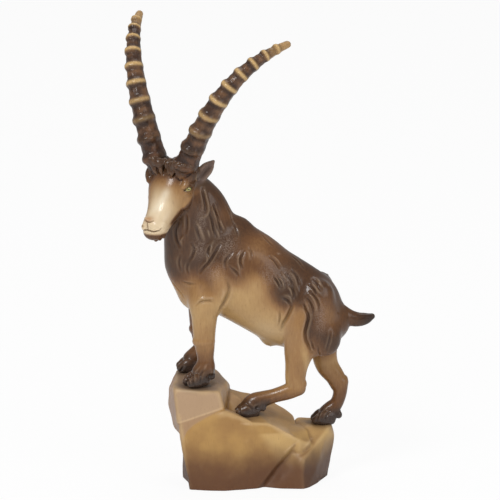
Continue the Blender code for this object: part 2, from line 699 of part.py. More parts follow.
def build_figurine():
    body = build_body()
    carve(body)
    thin = body.modifiers.new("fewer_faces", "DECIMATE")
    thin.ratio = BODY_TRIANGLES / (2 * len(body.data.polygons))
    body = evaluated_copy(body, "ibex_figurine")
    figurine = joined(body, (build_hard_parts(),))
    figurine.data.materials.clear()
    figurine.data.materials.append(wood_material("painted_wood", (0.30, 0.17, 0.09), 0.35))
    figurine.data.set_sharp_from_angle(angle=math.radians(40))
    return figurine


clear_scene()
build_figurine()
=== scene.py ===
import math

import bmesh
import bpy
import numpy as np
from mathutils import Matrix, Vector, noise
from mathutils.bvhtree import BVHTree


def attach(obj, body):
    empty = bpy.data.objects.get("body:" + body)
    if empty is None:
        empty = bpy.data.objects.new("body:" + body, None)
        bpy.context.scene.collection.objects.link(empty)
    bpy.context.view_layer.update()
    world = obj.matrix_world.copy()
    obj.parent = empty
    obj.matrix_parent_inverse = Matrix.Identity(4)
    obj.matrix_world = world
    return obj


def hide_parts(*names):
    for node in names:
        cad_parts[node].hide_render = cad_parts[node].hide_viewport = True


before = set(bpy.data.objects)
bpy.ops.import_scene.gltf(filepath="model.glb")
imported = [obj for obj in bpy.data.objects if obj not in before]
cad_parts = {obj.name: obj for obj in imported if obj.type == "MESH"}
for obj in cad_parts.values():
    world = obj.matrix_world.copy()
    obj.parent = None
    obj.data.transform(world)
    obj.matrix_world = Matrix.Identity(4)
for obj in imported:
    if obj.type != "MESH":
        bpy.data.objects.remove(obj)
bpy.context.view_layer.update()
mm = 0.001
scene = bpy.context.scene


# A socket of a shader tree. Sums and products of these add their own Math nodes.
class Wire:
    def __init__(self, tree, socket=None):
        self.tree = tree
        self.socket = socket

    def make(self, kind, settings=None, values=None, out=0):
        node = self.tree.nodes.new(kind)
        for name, value in (settings or {}).items():
            if name == "stops":
                for spot, (place, colour) in enumerate(value):
                    points = node.color_ramp.elements
                    point = points[spot] if spot < len(points) else points.new(place)
                    point.position = place
                    point.color = colour
            else:
                setattr(node, name, value)
        for name, value in (values or {}).items():
            if isinstance(value, Wire):
                self.tree.links.new(value.socket, node.inputs[name])
            else:
                node.inputs[name].default_value = value
        return Wire(self.tree, node.outputs[out])

    def math(self, operation, first, second=None):
        values = {0: first} if second is None else {0: first, 1: second}
        return self.make("ShaderNodeMath", {"operation": operation}, values)

    def __add__(self, other):
        return self.math("ADD", self, other)

    def __sub__(self, other):
        return self.math("SUBTRACT", self, other)

    def __rsub__(self, other):
        return self.math("SUBTRACT", other, self)

    def __mul__(self, other):
        return self.math("MULTIPLY", self, other)

    __radd__ = __add__

    def clamp(self):
        return self.make("ShaderNodeClamp", values={0: self})

    def ease(self, low, high):
        return self.make("ShaderNodeMapRange", {"interpolation_type": "SMOOTHSTEP"},
                         {"Value": self, "From Min": low, "From Max": high})

    def blend(self, under, over):
        return self.make("ShaderNodeMix", {"data_type": "RGBA"}, {0: self, 6: under, 7: over}, 2)

    def mask(self, name):
        return self.make("ShaderNodeAttribute", {"attribute_name": name}, out=2)

    def noise(self, place, scale, detail, roughness):
        return self.make("ShaderNodeTexNoise", values={
            "Vector": place, "Scale": scale, "Detail": detail, "Roughness": roughness})


def stain(red, green, blue):
    # a colour as it looks on the wood, 0 to 255, turned into the linear values of a shader
    def linear(value):
        value /= 255
        return value / 12.92 if value <= 0.04045 else ((value + 0.055) / 1.055) ** 2.4
    return (linear(red), linear(green), linear(blue), 1.0)


def newMaterial(name):
    material = bpy.data.materials.new(name)
    material.use_nodes = True
    tree = material.node_tree
    tree.nodes.clear()
    return material, Wire(tree)


def finishMaterial(start, surface):
    out = start.tree.nodes.new("ShaderNodeOutputMaterial")
    start.tree.links.new(surface.socket, out.inputs["Surface"])


def link(obj):
    scene.collection.objects.link(obj)
    return obj


def meshObject(bm, name):
    bmesh.ops.recalc_face_normals(bm, faces=bm.faces)
    mesh = bpy.data.meshes.new(name)
    bm.to_mesh(mesh)
    bm.free()
    return link(bpy.data.objects.new(name, mesh))


def settled(obj, name=None):
    # the object as its modifiers leave it, as a plain mesh in its place
    graph = bpy.context.evaluated_depsgraph_get()
    mesh = bpy.data.meshes.new_from_object(obj.evaluated_get(graph))
    name = name or obj.name
    bpy.data.objects.remove(obj, do_unlink=True)
    mesh.name = name
    return link(bpy.data.objects.new(name, mesh))


def smoothRows(rows, steps):
    rows = np.asarray(rows, float)
    padded = np.vstack([2 * rows[0] - rows[1], rows, 2 * rows[-1] - rows[-2]])
    found = []
    for i in range(1, len(padded) - 2):
        before, start, end, after = padded[i - 1:i + 3]
        for t in np.linspace(0, 1, steps, endpoint=False):
            found.append(0.5 * (2 * start + (end - before) * t
                                + (2 * before - 5 * start + 4 * end - after) * t ** 2
                                + (3 * start - before - 3 * end + after) * t ** 3))
    found.append(rows[-1])
    return np.array(found)


def loft(bm, rings):
    sides = len(rings[0])
    rows = [[bm.verts.new(point * mm) for point in ring] for ring in rings]
    for lower, upper in zip(rows, rows[1:]):
        for i in range(sides):
            j = (i + 1) % sides
            bm.faces.new((lower[i], lower[j], upper[j], upper[i]))
    for row, ring in ((rows[0][::-1], rings[0]), (rows[-1], rings[-1])):
        middle = bm.verts.new(np.mean(ring, axis=0) * mm)
        for i in range(sides):
            bm.faces.new((row[i], row[(i + 1) % sides], middle))


def limb(bm, rows, across=(0, 1, 0), sides=28, steps=6):
    # a round-ended tube through x, y, z, half depth and half width
    rows = smoothRows(rows, steps)
    centres, depths, widths = rows[:, :3], rows[:, 3], rows[:, 4]
    tangents = np.gradient(centres, axis=0)
    tangents /= np.linalg.norm(tangents, axis=1)[:, None]
    stations = list(zip(centres, tangents, depths, widths))
    roundEnd = [(math.sin(a), math.cos(a)) for a in np.radians((20, 38, 54, 68, 80))]
    first, last = stations[0], stations[-1]
    start = [(first[0] - first[1] * min(first[2:]) * out, first[1], first[2] * size, first[3] * size)
             for out, size in roundEnd]
    end = [(last[0] + last[1] * min(last[2:]) * out, last[1], last[2] * size, last[3] * size)
           for out, size in roundEnd]
    angles = np.linspace(0, 2 * math.pi, sides, endpoint=False)
    rings = []
    for centre, tangent, depth, width in start[::-1] + stations + end:
        side = np.asarray(across, float)
        side = side - tangent * side.dot(tangent)
        side /= np.linalg.norm(side)
        upward = np.cross(tangent, side)
        rings.append(np.array([centre + side * width * math.cos(a) + upward * depth * math.sin(a)
                               for a in angles]))
    loft(bm, rings)


def swelling(bm, centre, radii, lean=0.0, turn=0.0):
    place = (Matrix.Translation(Vector(centre) * mm)
             @ Matrix.Rotation(math.radians(turn), 4, "Z")
             @ Matrix.Rotation(math.radians(lean), 4, "Y")
             @ Matrix.Diagonal((*(Vector(radii) * mm), 1.0)))
    bmesh.ops.create_icosphere(bm, subdivisions=4, radius=1.0, matrix=place)


def remeshed(obj, grid, rubs, name=None):
    remesh = obj.modifiers.new("oneSkin", "REMESH")
    remesh.mode = "VOXEL"
    remesh.voxel_size = grid * mm
    rub = obj.modifiers.new("rubbed", "SMOOTH")
    rub.factor = 0.5
    rub.iterations = rubs
    return settled(obj, name)


# What the legs and the rock share, in millimetres: the tops that the hooves stand on and half the track
stand = {"frontTop": 64.5, "frontTilt": 2.5, "ledgeTop": 43.5, "rearTop": 34.5, "legTrack": 13.0}

# The animal, in millimetres and degrees
animal = {
    "withers": 166.0, "chestHalf": 19.0, "rumpHalf": 17.5, "tailLength": 22.0, "nearFrontX": -28.2,
    "farFrontX": -30.5, "cannon": 4.7, "hoofLength": 12.0, "roughGrid": 1.6, "roughRubs": 26,
    "carvingGrid": 0.52, "carvingRubs": 6, "mostTriangles": 196000,
}
head = {
    "x": -46.0, "y": -4.0, "aboveWithers": 31.0, "turn": 56.0, "drop": 45.0, "roll": 3.0,
    "length": 40.5, "halfWidth": 14.8, "earLength": 17.5, "lockSize": 2.2, "eyeball": 2.75,
    "eyeAt": (9.3, 13.3, 0.7), "lidSkin": 0.35, "lidHalf": 2.8, "lidUp": 1.1, "lidDown": 0.8,
}
# which way an eye looks, the line of its slit and the way up across the slit: forward, left, up
eyeLines = {"gaze": (0.29, 0.78, 0.56), "slit": (-0.73, 0.55, -0.40), "rise": (-0.62, -0.29, 0.73)}
headCentre = Vector((head["x"], head["y"], animal["withers"] + head["aboveWithers"]))
hornAxes = (Matrix.Rotation(math.radians(head["turn"]), 3, "Z")
            @ Matrix.Rotation(math.radians(head["roll"]), 3, "X"))
headAxes = (Matrix.Rotation(math.radians(head["turn"]), 3, "Z")
            @ Matrix.Rotation(math.radians(-head["drop"]), 3, "Y")
            @ Matrix.Rotation(math.radians(head["roll"]), 3, "X"))


def headVector(forward, left, up):
    return headAxes @ Vector((-forward, -left, up))


def onHead(forward, left, up):
    return headCentre + headVector(forward, left, up)


def inHead(points):
    # forward, left and up of every point in the head's own frame
    turned = (points - np.array(headCentre)) @ np.array(headAxes)
    return -turned[:, 0], -turned[:, 1], turned[:, 2]


def earPoint(side, share):
    reach = head["earLength"] * share
    return onHead(0.5 - 0.81 * reach, side * (head["halfWidth"] * 0.84 + 0.5 * reach), -4.5 + 0.25 * reach)


def earHollow(side):
    return headVector(0.5, side * 0.7, 0.5)


def eyePlace(side):
    forward, left, up = head["eyeAt"]
    if side < 0:  # the far eye lies a little deeper
        forward, left = forward - 0.8, left - 1.2
    return onHead(forward, side * left, up)


def eyeLine(side, which):
    forward, left, up = eyeLines[which]
    return headVector(forward, side * left, up).normalized()


def lidGap(side, points):
    # how far outside the almond between the lids each point lies, below 0 between them,
    # and how far above the slit
    offset = points - np.array(eyePlace(side))
    along, rise, out = (offset @ np.array(eyeLine(side, which)) for which in ("slit", "rise", "gaze"))
    arch = 1 - np.clip(np.abs(along) / head["lidHalf"], 0, 1.4) ** 2
    gap = np.where(rise > 0, rise - head["lidUp"] * arch, -rise - head["lidDown"] * arch)
    gap = np.where((out < 0) | (np.linalg.norm(offset, axis=1) > 5), 9.0, gap)
    return gap, rise


def addTorso(bm):
    top, chest, rump = animal["withers"], animal["chestHalf"], animal["rumpHalf"]
    limb(bm, (
        (-38, 0, top - 31, 17, chest * 0.66),
        (-29, 0, top - 28, 26, chest * 0.86),
        (-17.5, 0, top - 28, 29.5, chest * 0.97),
        (-5.6, 0, top - 33.5, 30, chest),
        (8.7, 0, top - 43, 28.5, chest),
        (24.8, 0, top - 52.5, 28, rump),
        (38.0, 0, top - 58.5, 25.5, rump * 0.98),
        (47, 0, top - 62.5, 20, rump * 0.82),
        (53, 0, top - 65, 13, rump * 0.55),
    ), sides=40)
    swelling(bm, (10.5, 0, top - 77.5), (5.5, 3.2, 3), lean=30)
    swelling(bm, (-7, 0, top - 11), (19, 9, 11), lean=38)
    swelling(bm, (-6, 0, top - 5), (11, 7, 8), lean=38)
    for side in (-1, 1):
        swelling(bm, (-17, side * chest * 0.62, top - 34), (13, 8, 21), lean=-25)
        swelling(bm, (39, side * rump * 0.62, top - 53), (13, 8, 20), lean=20)


def addNeck(bm):
    top = animal["withers"]
    limb(bm, (
        (-27, 0, top - 44, 19, 14.5),
        (-28.5, 0, top - 28, 24.5, 16),
        (-30, -1, top - 14, 23.8, 15),
        (-31, -2, top - 2.5, 22.8, 13.5),
        (-32.8, -3, top + 9, 19.6, 12.5),
        (-35.8, -3.5, top + 18, 15.6, 11.5),
        (-39, -3.5, top + 25, 11.5, 9.5),
    ), sides=40)


def addThighs(bm):
    top, track = animal["withers"], stand["legTrack"]
    for side, x in ((-1, animal["nearFrontX"]), (1, animal["farFrontX"])):
        limb(bm, ((-24, side * 8, top - 36, 13, 8.5), (x + 0.3, side * track, top - 47, 11, 7.6),
                  (x, side * track, top - 57, 9, 6.8)))
    limb(bm, ((40, -9, top - 52, 16, 9), (35.5, -track + 1, top - 66, 13.5, 8.4),
              (31.5, -track, top - 79, 10.5, 7.0)))
    limb(bm, ((43, 8, top - 56, 15, 9), (45.5, 8.5, top - 70, 11.5, 8.0), (46.0, 8.2, top - 84, 9.0, 6.8)))
    swelling(bm, (46.0, -10.5, top - 71.5), (11.0, 8.0, 13.0), lean=-8)


# the long form of the head: share of its length, rise, half depth, share of its half width
headProfile = (
    (-0.17, -2.5, 7, 0.62), (-0.06, -1.5, 10, 0.88), (0.09, -1.2, 12, 1.0),
    (0.28, -3.2, 12.2, 0.97), (0.46, -5.0, 10.6, 0.82), (0.65, -5.6, 9.0, 0.66),
    (0.80, -5.4, 8.0, 0.58), (0.92, -5.2, 7.2, 0.56), (0.985, -5.6, 5.0, 0.44),
)
# locks of the forelock: start and end as forward, left and up, then size
forelocks = (
    (1.5, 5, 15.5, 7, 6.4, 12, 1), (2, 8.5, 17.6, 7.4, 7.4, 12.4, 1),
    (2.6, 11.5, 18, 7.2, 12.2, 11.4, 1.05), (2.4, 14.4, 17, 5.6, 15.4, 10, 0.95),
    (1, 17, 14.6, 3.2, 16.6, 7.4, 0.95), (-1.5, 17.8, 10.5, 1.8, 16.8, 4.2, 0.85),
    (4.5, 9.4, 13, 9.4, 11, 8.4, 0.8), (4.6, 13, 11.4, 8.2, 12.2, 7, 0.75),
    (4, 6.6, 12.6, 9.6, 5.2, 10, 0.75), (-1, 2.2, 13.6, 6, 0.6, 13, 1.05),
    (1.5, 2.5, 12.8, 9, 3.4, 10.8, 0.85), (-0.5, -1.6, 13.8, 6.2, -3.4, 12.6, 0.95),
    (1, -4.6, 15.6, 6.6, -3.4, 12.8, 1), (1.8, -8, 17.4, 6.4, -5.2, 13, 1.05),
    (2.2, -11, 16.6, 7.4, -7.4, 11.8, 1), (1.6, -14, 15, 6, -12.8, 9.4, 0.95),
    (-0.5, -16.2, 12, 3.6, -15.2, 6, 0.85), (4, -3.6, 12.8, 9.6, -1.6, 10.4, 0.75),
    (4.6, -8.6, 12.4, 9.4, -5.8, 9.6, 0.8), (3.6, -12, 10.4, 8.4, -11.4, 5.8, 0.75),
)
# swellings on both sides of the head: forward, left, how far the pair is off the middle, up, half sizes
headPairs = (
    (7.0, head["halfWidth"] - 2.2, 0.0, 4.8, (5.2, 2.8, 2.0)),
    (-0.5, 9.6, 0.0, 3.8, (8.6, 7.8, 8.2)),
    (35.6, 3.4, -0.6, -2.9, (3.2, 2.5, 2.5)),
    (35.5, 4.4, -0.6, -7.6, (4.6, 3.6, 3.4)),
    (12.0, 11.6, 0.0, -6.5, (8.0, 3.6, 5.0)),
    (39.0, 3.0, -1.4, -1.6, (2.6, 2.5, 2.2)),
)
# single swellings of the far cheek, nose, lips and chin: forward, left and up, half sizes
headLumps = (
    ((4.5, -head["halfWidth"] + 1.0, 4.0), (6.0, 3.0, 5.0)),
    ((39.0, -0.9, -2.6), (2.4, 3.4, 2.5)),
    ((35.2, -2.4, 1.3), (2.1, 3.6, 1.0)),
    ((41.4, -0.4, -4.2), (2.4, 4.4, 2.4)),
    ((36.5, -0.6, -10.4), (3.8, 5.2, 2.6)),
)
# locks of the beard: left, length
beardLocks = ((-2.6, 4.6), (-0.2, 5.8), (2.4, 5.2), (4.8, 4.0))


def addLock(bm, start, end, size):
    start, end = Vector(start) + Vector((0, 0, 0.5)), Vector(end) + Vector((-1.6, 0, 0.5))
    middle = start * 0.45 + end * 0.55
    middle[2] += 0.45 * size
    rows = [(*onHead(*spot), share * size, share * size * 0.75)
            for spot, share in ((start, 1.0), (middle, 0.85), (end, 0.3))]
    limb(bm, rows, sides=12)


def addHead(bm):
    rows = [(*onHead(share * head["length"], 0, rise), depth, half * head["halfWidth"])
            for share, rise, depth, half in headProfile]
    limb(bm, rows, across=headVector(0, 1, 0), sides=40)
    lean, turn = -head["drop"], head["turn"]
    for side in (1, -1):
        for forward, left, shift, up, radii in headPairs:
            swelling(bm, onHead(forward, side * left + shift, up), radii, lean, turn)
        swelling(bm, eyePlace(side), [head["eyeball"] + head["lidSkin"]] * 3)
    for *ends, size in forelocks:
        addLock(bm, ends[:3], ends[3:], size * head["lockSize"])
    for place, radii in headLumps:
        swelling(bm, onHead(*place), radii, lean, turn)
    for left, drop in beardLocks:
        chin = onHead(39.0 - abs(left) * 0.3, left, -7.6)
        rows = (((0.0, 0.0, 1.0), 2.4, 1.9), ((0.4, 0.6, 1.0 - 0.6 * drop), 2.2, 1.8),
                ((0.8, 0.9, 1.0 - drop), 1.5, 1.3))
        limb(bm, [(*(chin + Vector(shift)), deep, wide) for shift, deep, wide in rows],
             across=headVector(0, 1, 0), sides=14)


def addEars(bm):
    leaf = ((0.0, 2.3, 3.0), (0.28, 2.0, 3.9), (0.58, 1.7, 4.0), (0.84, 1.4, 2.9), (1.0, 1.0, 1.2))
    for side in (1, -1):
        rows = [(*earPoint(side, share), thin, broad) for share, thin, broad in leaf]
        axis = earPoint(side, 1) - earPoint(side, 0)
        limb(bm, rows, across=earHollow(side).cross(axis))


def between(ground, top, share):
    return ground + (top - ground) * share


def legPart(bm, y, ground, top, rows):
    # a stretch of leg: x, share of the way up, half depth, half width and, where given, the shift in y
    limb(bm, [(x, y + sum(shift), between(ground, top, share), deep, wide)
              for x, share, deep, wide, *shift in rows])


hooves = []  # where each foot stands and which way it points, for the paint


def addHoof(bm, heel, heading, ground):
    forward = Vector((math.cos(math.radians(heading)), math.sin(math.radians(heading)), 0))
    side = Vector((-forward.y, forward.x, 0))
    heel = Vector((heel[0], heel[1], ground))
    long = animal["hoofLength"]
    hooves.append((heel, forward, ground))
    for sign in (-1, 1):
        start = heel + side * sign * 2.6 + Vector((0, 0, 4.4))
        middle = start + forward * long * 0.5 + side * sign * 1.1 - Vector((0, 0, 0.4))
        tip = start + forward * long * 0.87 + side * sign * 0.5 - Vector((0, 0, 1.9))
        limb(bm, ((*start, 5.0, 3.0), (*middle, 4.5, 2.9), (*tip, 2.6, 2.1)), across=side, sides=20, steps=5)
        claw = heel - forward * 4.4 + side * sign * 3.0 + Vector((0, 0, 6.0))
        swelling(bm, claw, (2.4, 1.9, 2.7), lean=20, turn=heading)


def addFrontLegs(bm):
    top, r = animal["withers"] - 45, animal["cannon"]
    # how far ahead of the leg's line, share of the way up, half depth, half width
    column = (
        (3.5, 1.09, 13.0, 8.5), (0.3, 0.98, 10.5, 7.4), (0.0, 0.80, 8.4, 6.4),
        (-0.2, 0.64, r + 2.6, r + 1.1), (-0.1, 0.51, r + 2.0, r + 0.7), (0.3, 0.41, r + 1.3, r + 0.2),
        (0.6, 0.30, r + 0.5, r - 0.2),
    )
    nearFoot = ((0.4, 0.21, r + 1.6, r + 0.7), (-1.6, 0.13, r + 2.0, r + 1.2))
    farFoot = ((-1.2, 0.21, r + 1.3, r + 0.5), (-6.0, 0.13, r + 1.0, r + 0.6))
    low, far = stand["frontTop"], stand["frontTop"] + stand["frontTilt"]
    # side, x, ground, rows of the foot, the heel from the leg's line in x and y, heading
    for side, x, ground, foot, heelX, heelY, heading in (
            (-1, animal["nearFrontX"], low, nearFoot, 1.0, 1.0, 208),
            (1, animal["farFrontX"], far, farFoot, 3.0, 0.0, 184)):
        y = side * stand["legTrack"]
        limb(bm, [(x + dx, y * min(1.0, 1.62 - share * 0.8), between(ground, top, share), deep, wide)
                  for dx, share, deep, wide in column + foot])
        swelling(bm, (x - 0.5, y, between(ground, top, 0.50)), (r + 2.5, r + 1.2, 5.0))
        swelling(bm, (x + 2.5, y, between(ground, top, 0.20)), (3.2, 3.0, 3.6), lean=25)
        addHoof(bm, (x - heelX, y + heelY), heading, ground)


def addHindLegs(bm):
    r, track = animal["cannon"], stand["legTrack"]
    stifle, ground, y = animal["withers"] - 59.5, stand["ledgeTop"] + 1.2, -track
    legPart(bm, y, ground, stifle, (
        (37.5, 1.0, 14.5, 9.0, 4.0), (33.5, 0.83, 12.8, 7.8, 1.2), (30.6, 0.67, 9.8, 6.6),
        (29.0, 0.53, 7.3, 5.6), (28.2, 0.41, r + 1.8, r + 0.4), (28.4, 0.32, r + 1.5, r),
    ))
    legPart(bm, y, ground, stifle, (
        (30.0, 0.30, r + 0.8, r - 0.1), (23.5, 0.252, r + 0.4, r - 0.2), (15.0, 0.208, r - 0.2, r - 0.6),
        (8.7, 0.177, r + 0.4, r - 0.2), (2.8, 0.140, r + 1.3, r + 0.6), (-0.8, 0.090, r + 1.0, r + 0.9),
    ))
    swelling(bm, (32.0, y, between(ground, stifle, 0.325)), (3.2, 3.4, 3.8), lean=30)
    addHoof(bm, (3.0, y), 188, ground)
    stifle, ground, y = animal["withers"] - 75, stand["rearTop"], track * 0.62
    legPart(bm, y, ground, stifle, (
        (44.0, 1.22, 13.5, 8.6, -1.0), (46.3, 1.0, 9.6, 7.2), (46.2, 0.80, 8.0, 6.4),
        (48.2, 0.655, 7.2, 5.4), (52.8, 0.535, r + 1.4, r + 0.1), (55.8, 0.435, r + 1.0, r - 0.2),
    ))
    legPart(bm, y, ground, stifle, (
        (56.6, 0.47, r + 0.2, r - 0.3), (56.0, 0.335, r - 0.4, r - 0.8), (54.2, 0.235, r - 0.5, r - 0.8),
        (51.0, 0.165, r + 0.4, r - 0.1), (47.5, 0.115, r + 0.2, r),
    ))
    swelling(bm, (58.6, y, between(ground, stifle, 0.475)), (2.6, 3.2, 4.0), lean=10)
    addHoof(bm, (50.5, y), 186, ground)


def addTail(bm):
    root = animal["withers"] - 58
    rows = ((0.0, 0.0, 6.2, 5.4), (0.3, 3.4, 5.2, 4.4), (0.56, 4.8, 4.6, 3.7), (0.8, 4.2, 3.7, 3.0),
            (0.97, 2.8, 2.0, 1.9))
    limb(bm, [(54.5 + share * animal["tailLength"], 0, root - drop, deep, wide)
              for share, drop, deep, wide in rows], sides=24)


def buildAnimal():
    masses = bmesh.new()
    for add in (addTorso, addNeck, addThighs):
        add(masses)
    rough = remeshed(meshObject(masses, "roughMasses"), animal["roughGrid"], animal["roughRubs"])
    bm = bmesh.new()
    bm.from_mesh(rough.data)
    bpy.data.objects.remove(rough, do_unlink=True)
    for add in (addHead, addEars, addFrontLegs, addHindLegs, addTail):
        add(bm)
    return remeshed(meshObject(bm, "ibexBody"), animal["carvingGrid"], animal["carvingRubs"])


# Gouge cuts on both flanks: depth (below 0 a raised lock), width, then x and z in turn along the side view
coatCuts = (
    (-0.7, 1.3, -28, 190.5, -27.5, 186.5, -25.5, 179, -26, 174.5, -28.5, 172, -31, 172),
    (0.9, 1.2, -29.5, 189.5, -28.5, 185, -27.5, 179, -28, 175),
    (-0.7, 1, -24, 179, -22.5, 175, -21, 170.5, -19, 166), (0.9, 0.9, -22.5, 179.5, -21, 174.5, -19, 169.5),
    (-0.6, 0.9, -26.5, 164.5, -25.5, 162, -25, 159.5), (-0.6, 0.9, -20.5, 164, -19.5, 161, -19, 158.5),
    (0.9, 1, -25, 175, -23.5, 170, -22.5, 164.5, -21, 160), (-0.7, 1, -19, 171, -17.5, 167, -15.5, 163),
    (0.8, 0.9, -20.5, 170.5, -19, 167, -17.5, 163), (-0.7, 1.1, -22.5, 157, -24, 153.5, -24.5, 149),
    (0.9, 1, -23, 155.5, -25.5, 152, -26.5, 148), (-0.6, 0.9, -27, 149, -26.5, 146.5, -26.5, 144),
    (0.9, 1.1, -18.5, 155, -20.5, 152, -25, 144.5, -29, 140, -31, 137),
    (0.8, 1.1, -10.5, 150.5, -14.5, 146.5, -15.5, 143.5, -15, 140),
    (-0.8, 1, -5, 151, -7, 148, -7.5, 144.5, -6.5, 140.5, -6, 136),
    (1, 1, -3.5, 150.5, -5.5, 147, -6, 144, -4.5, 140.5), (0.8, 1, -12.5, 141.5, -8.5, 138, -7, 135.5),
    (-0.7, 0.9, -41, 160, -42.5, 157, -42, 154),
    (0.9, 1.1, -36, 155.5, -34.5, 152, -35.5, 148, -37.5, 144.5),
    (0.8, 1.2, -44.5, 168.5, -46, 163.5, -45.5, 158, -43.5, 153),
    (0.7, 1.2, -39.5, 173.5, -39, 168, -39.5, 162.5),
    (-0.6, 1.3, -33, 169.5, -31, 165.5, -29, 160.5, -28, 157),
    (0.7, 1, -33.5, 166.5, -32, 161.5, -30.5, 157), (0.6, 1, -38, 143.5, -39, 139.5, -38, 136),
    (0.6, 1, -43, 147.5, -44, 143, -43, 138), (0.5, 0.9, -0.5, 152.5, 1, 149.5, 1, 146.5),
    (-0.5, 0.9, -2, 151.5, -0.5, 148.5, -0.5, 145.5), (-0.7, 0.9, 13, 147.5, 16.5, 144.5, 20, 140),
    (0.6, 0.8, 12, 146.5, 15, 144, 18, 139.5), (-0.5, 0.7, 16.5, 148, 19, 147),
    (1.3, 0.9, 14.5, 135, 17, 131.5, 19, 127.5), (1, 0.8, 16.5, 135, 19, 131.5, 20, 128),
    (-0.7, 0.9, 17.5, 134.5, 20, 131.5, 21, 127.5), (-0.8, 1.1, 24, 137, 26.5, 134.5, 28, 131.5, 30, 125),
    (0.9, 1, 22.5, 136, 25, 132.5, 26.5, 129, 27.5, 124.5), (0.8, 0.9, 26, 137.5, 29, 134, 30.5, 129.5),
    (-0.6, 0.9, 19.5, 137, 21.5, 134, 23, 131), (-0.6, 0.9, 23, 128.5, 25, 126, 26, 122),
    (0.9, 1, 24.5, 130, 26.5, 126, 28, 121), (0.9, 1, 20, 121.5, 23.5, 119.5, 25.5, 116),
    (-0.7, 1, 21, 123.5, 24.5, 122, 26, 118),
    (1.2, 1.5, 26.5, 118, 25.5, 114.5, 23, 109, 20.5, 104.5, 19, 99.5),
    (-0.6, 0.9, 17, 112, 17, 108, 16.5, 103), (0.7, 0.9, 18.5, 113, 18.5, 108, 17.5, 102),
    (-0.7, 1, 40, 132.5, 42.5, 131, 45.5, 127), (0.8, 0.8, 39, 131.5, 41.5, 129.5, 43.5, 126),
    (-0.7, 1, 38, 130, 41, 127, 43.5, 123.5), (0.8, 0.8, 36.5, 129, 39.5, 126.5, 41.5, 122.5),
    (-0.5, 0.7, 47.5, 129.5, 49, 127.5), (-0.9, 1.2, 36, 124, 38.5, 122, 40.5, 118, 41.5, 112.5),
    (1, 0.9, 37, 125, 40.5, 121.5, 42.5, 117.5, 43, 112.5),
    (1, 0.9, 34.5, 122, 37, 119, 39, 114.5, 39, 111.5), (-0.6, 0.8, 33.5, 120, 35.5, 117, 36.5, 112.5),
    (0.9, 0.8, 32.5, 118.5, 34, 115.5, 34.5, 112),
    (1.3, 1.3, 31.5, 117.5, 34.5, 114, 36, 109.5, 35, 104.5, 34, 100, 34.5, 95, 36.5, 90.5, 38, 86.5),
    (0.7, 0.8, 38, 94.5, 39, 90.5, 40, 88), (-0.6, 0.8, 37, 94.5, 37.5, 91, 39, 87.5),
    (0.6, 0.8, 42, 91, 43, 84, 44.5, 82), (0.7, 1, -33.5, 117, -30, 119.5, -25, 120, -23, 119),
    (-0.5, 1, -33.5, 118.5, -30, 121.5, -25.5, 122, -22.5, 121),
    (1, 1.6, -14.5, 133.5, -13, 128.5, -13.5, 124, -15.5, 119.5, -18, 114.5, -20, 110.5),
    (-0.7, 1.6, -16.5, 129, -16.5, 124.5, -18, 120), (0.6, 1, -42, 130.5, -38.5, 129.5, -34, 130),
    (0.6, 1.1, -48.5, 129, -44.5, 124, -41, 120), (0.5, 0.9, 7.5, 158, 11, 155, 14.5, 151.5),
    (0.5, 0.9, 26, 144.5, 30, 141.5, 33, 138), (0.5, 0.9, -11, 167.5, -8.5, 163, -7.5, 159),
    (0.5, 0.9, -15, 178, -12.5, 173, -11, 168), (0.5, 0.9, 50, 99.5, 49, 93.5, 47, 87),
    (-0.8, 0.8, -32.5, 200.5, -33.5, 197.5, -33, 194),
)
coatCutScale = {"depth": 1.1, "width": 0.62}
# cuts on the feet that face the photo: width, depth, then x and z in turn
footCuts = (
    (1.7, 2.6, -25.8, 70.6, -23.6, 70.2), (0.6, 1, -41.6, 71, -43.2, 68, -43.8, 65),
    (0.6, 0.9, -34.5, 73, -35.6, 69.5, -34, 65.5), (0.5, 0.8, -38.4, 70, -37.2, 66),
    (0.5, -0.6, -30.6, 78, -33.2, 74.5, -35, 71), (0.5, 0.8, -28.6, 76, -30.6, 72, -30.4, 67.5),
    (0.5, 0.7, -22, 80, -21.4, 75, -20.8, 72), (0.5, -0.5, -27, 79, -28.6, 75.5),
    (0.6, 0.9, -2, 53.5, 0.6, 52, 2.6, 49.5), (0.5, -0.6, -6, 55.5, -9.4, 52.5, -11, 50),
    (0.5, 0.8, -4.2, 55.5, -6.2, 52, -6.4, 48), (0.5, 0.7, -9.6, 53, -13.2, 50.5),
    (0.5, 0.8, -9, 49.5, -12, 47, -14, 45.6), (0.9, 1.4, 3.4, 50.8, 4.8, 51.4),
    (0.5, 0.8, 46, 45, 43, 41.5, 41.6, 38), (0.5, 0.7, 50.4, 44.5, 47.6, 41, 46.6, 37.5),
    (0.5, -0.5, 48.6, 46, 45.6, 42.6),
)
# cuts on the muzzle: width, depth, then forward, left and up in turn
faceCuts = (
    (0.36, 0.9, 40, -5.8, -2.9, 40.6, -4.6, -2.6, 41.4, -1, -1.2, 41.2, 2.6, -1.9, 39.6, 5.2, -2.4,
     38, 6.9, -1.9),
    (0.45, 0.7, 37.3, -2.2, 1.6, 39.2, -1.6, 0.8, 41.2, -1, -0.9),
    (0.5, 0.7, 34.7, -6.4, -0.4, 35.6, -5, 0.8, 37, -3, 1.5, 37.3, -0.4, 1.9, 36, 1.6, 2.1),
)


def nearFace(points):
    forward, left, up = inHead(points)
    muzzle = (forward > 31.5) & (up > -9) & (points[:, 2] > 160)
    eyes = [np.linalg.norm(points - np.array(eyePlace(side)), axis=1) < 5 for side in (1, -1)]
    return (muzzle & (np.abs(left) < 14) & (forward < 48)) | eyes[0] | eyes[1]


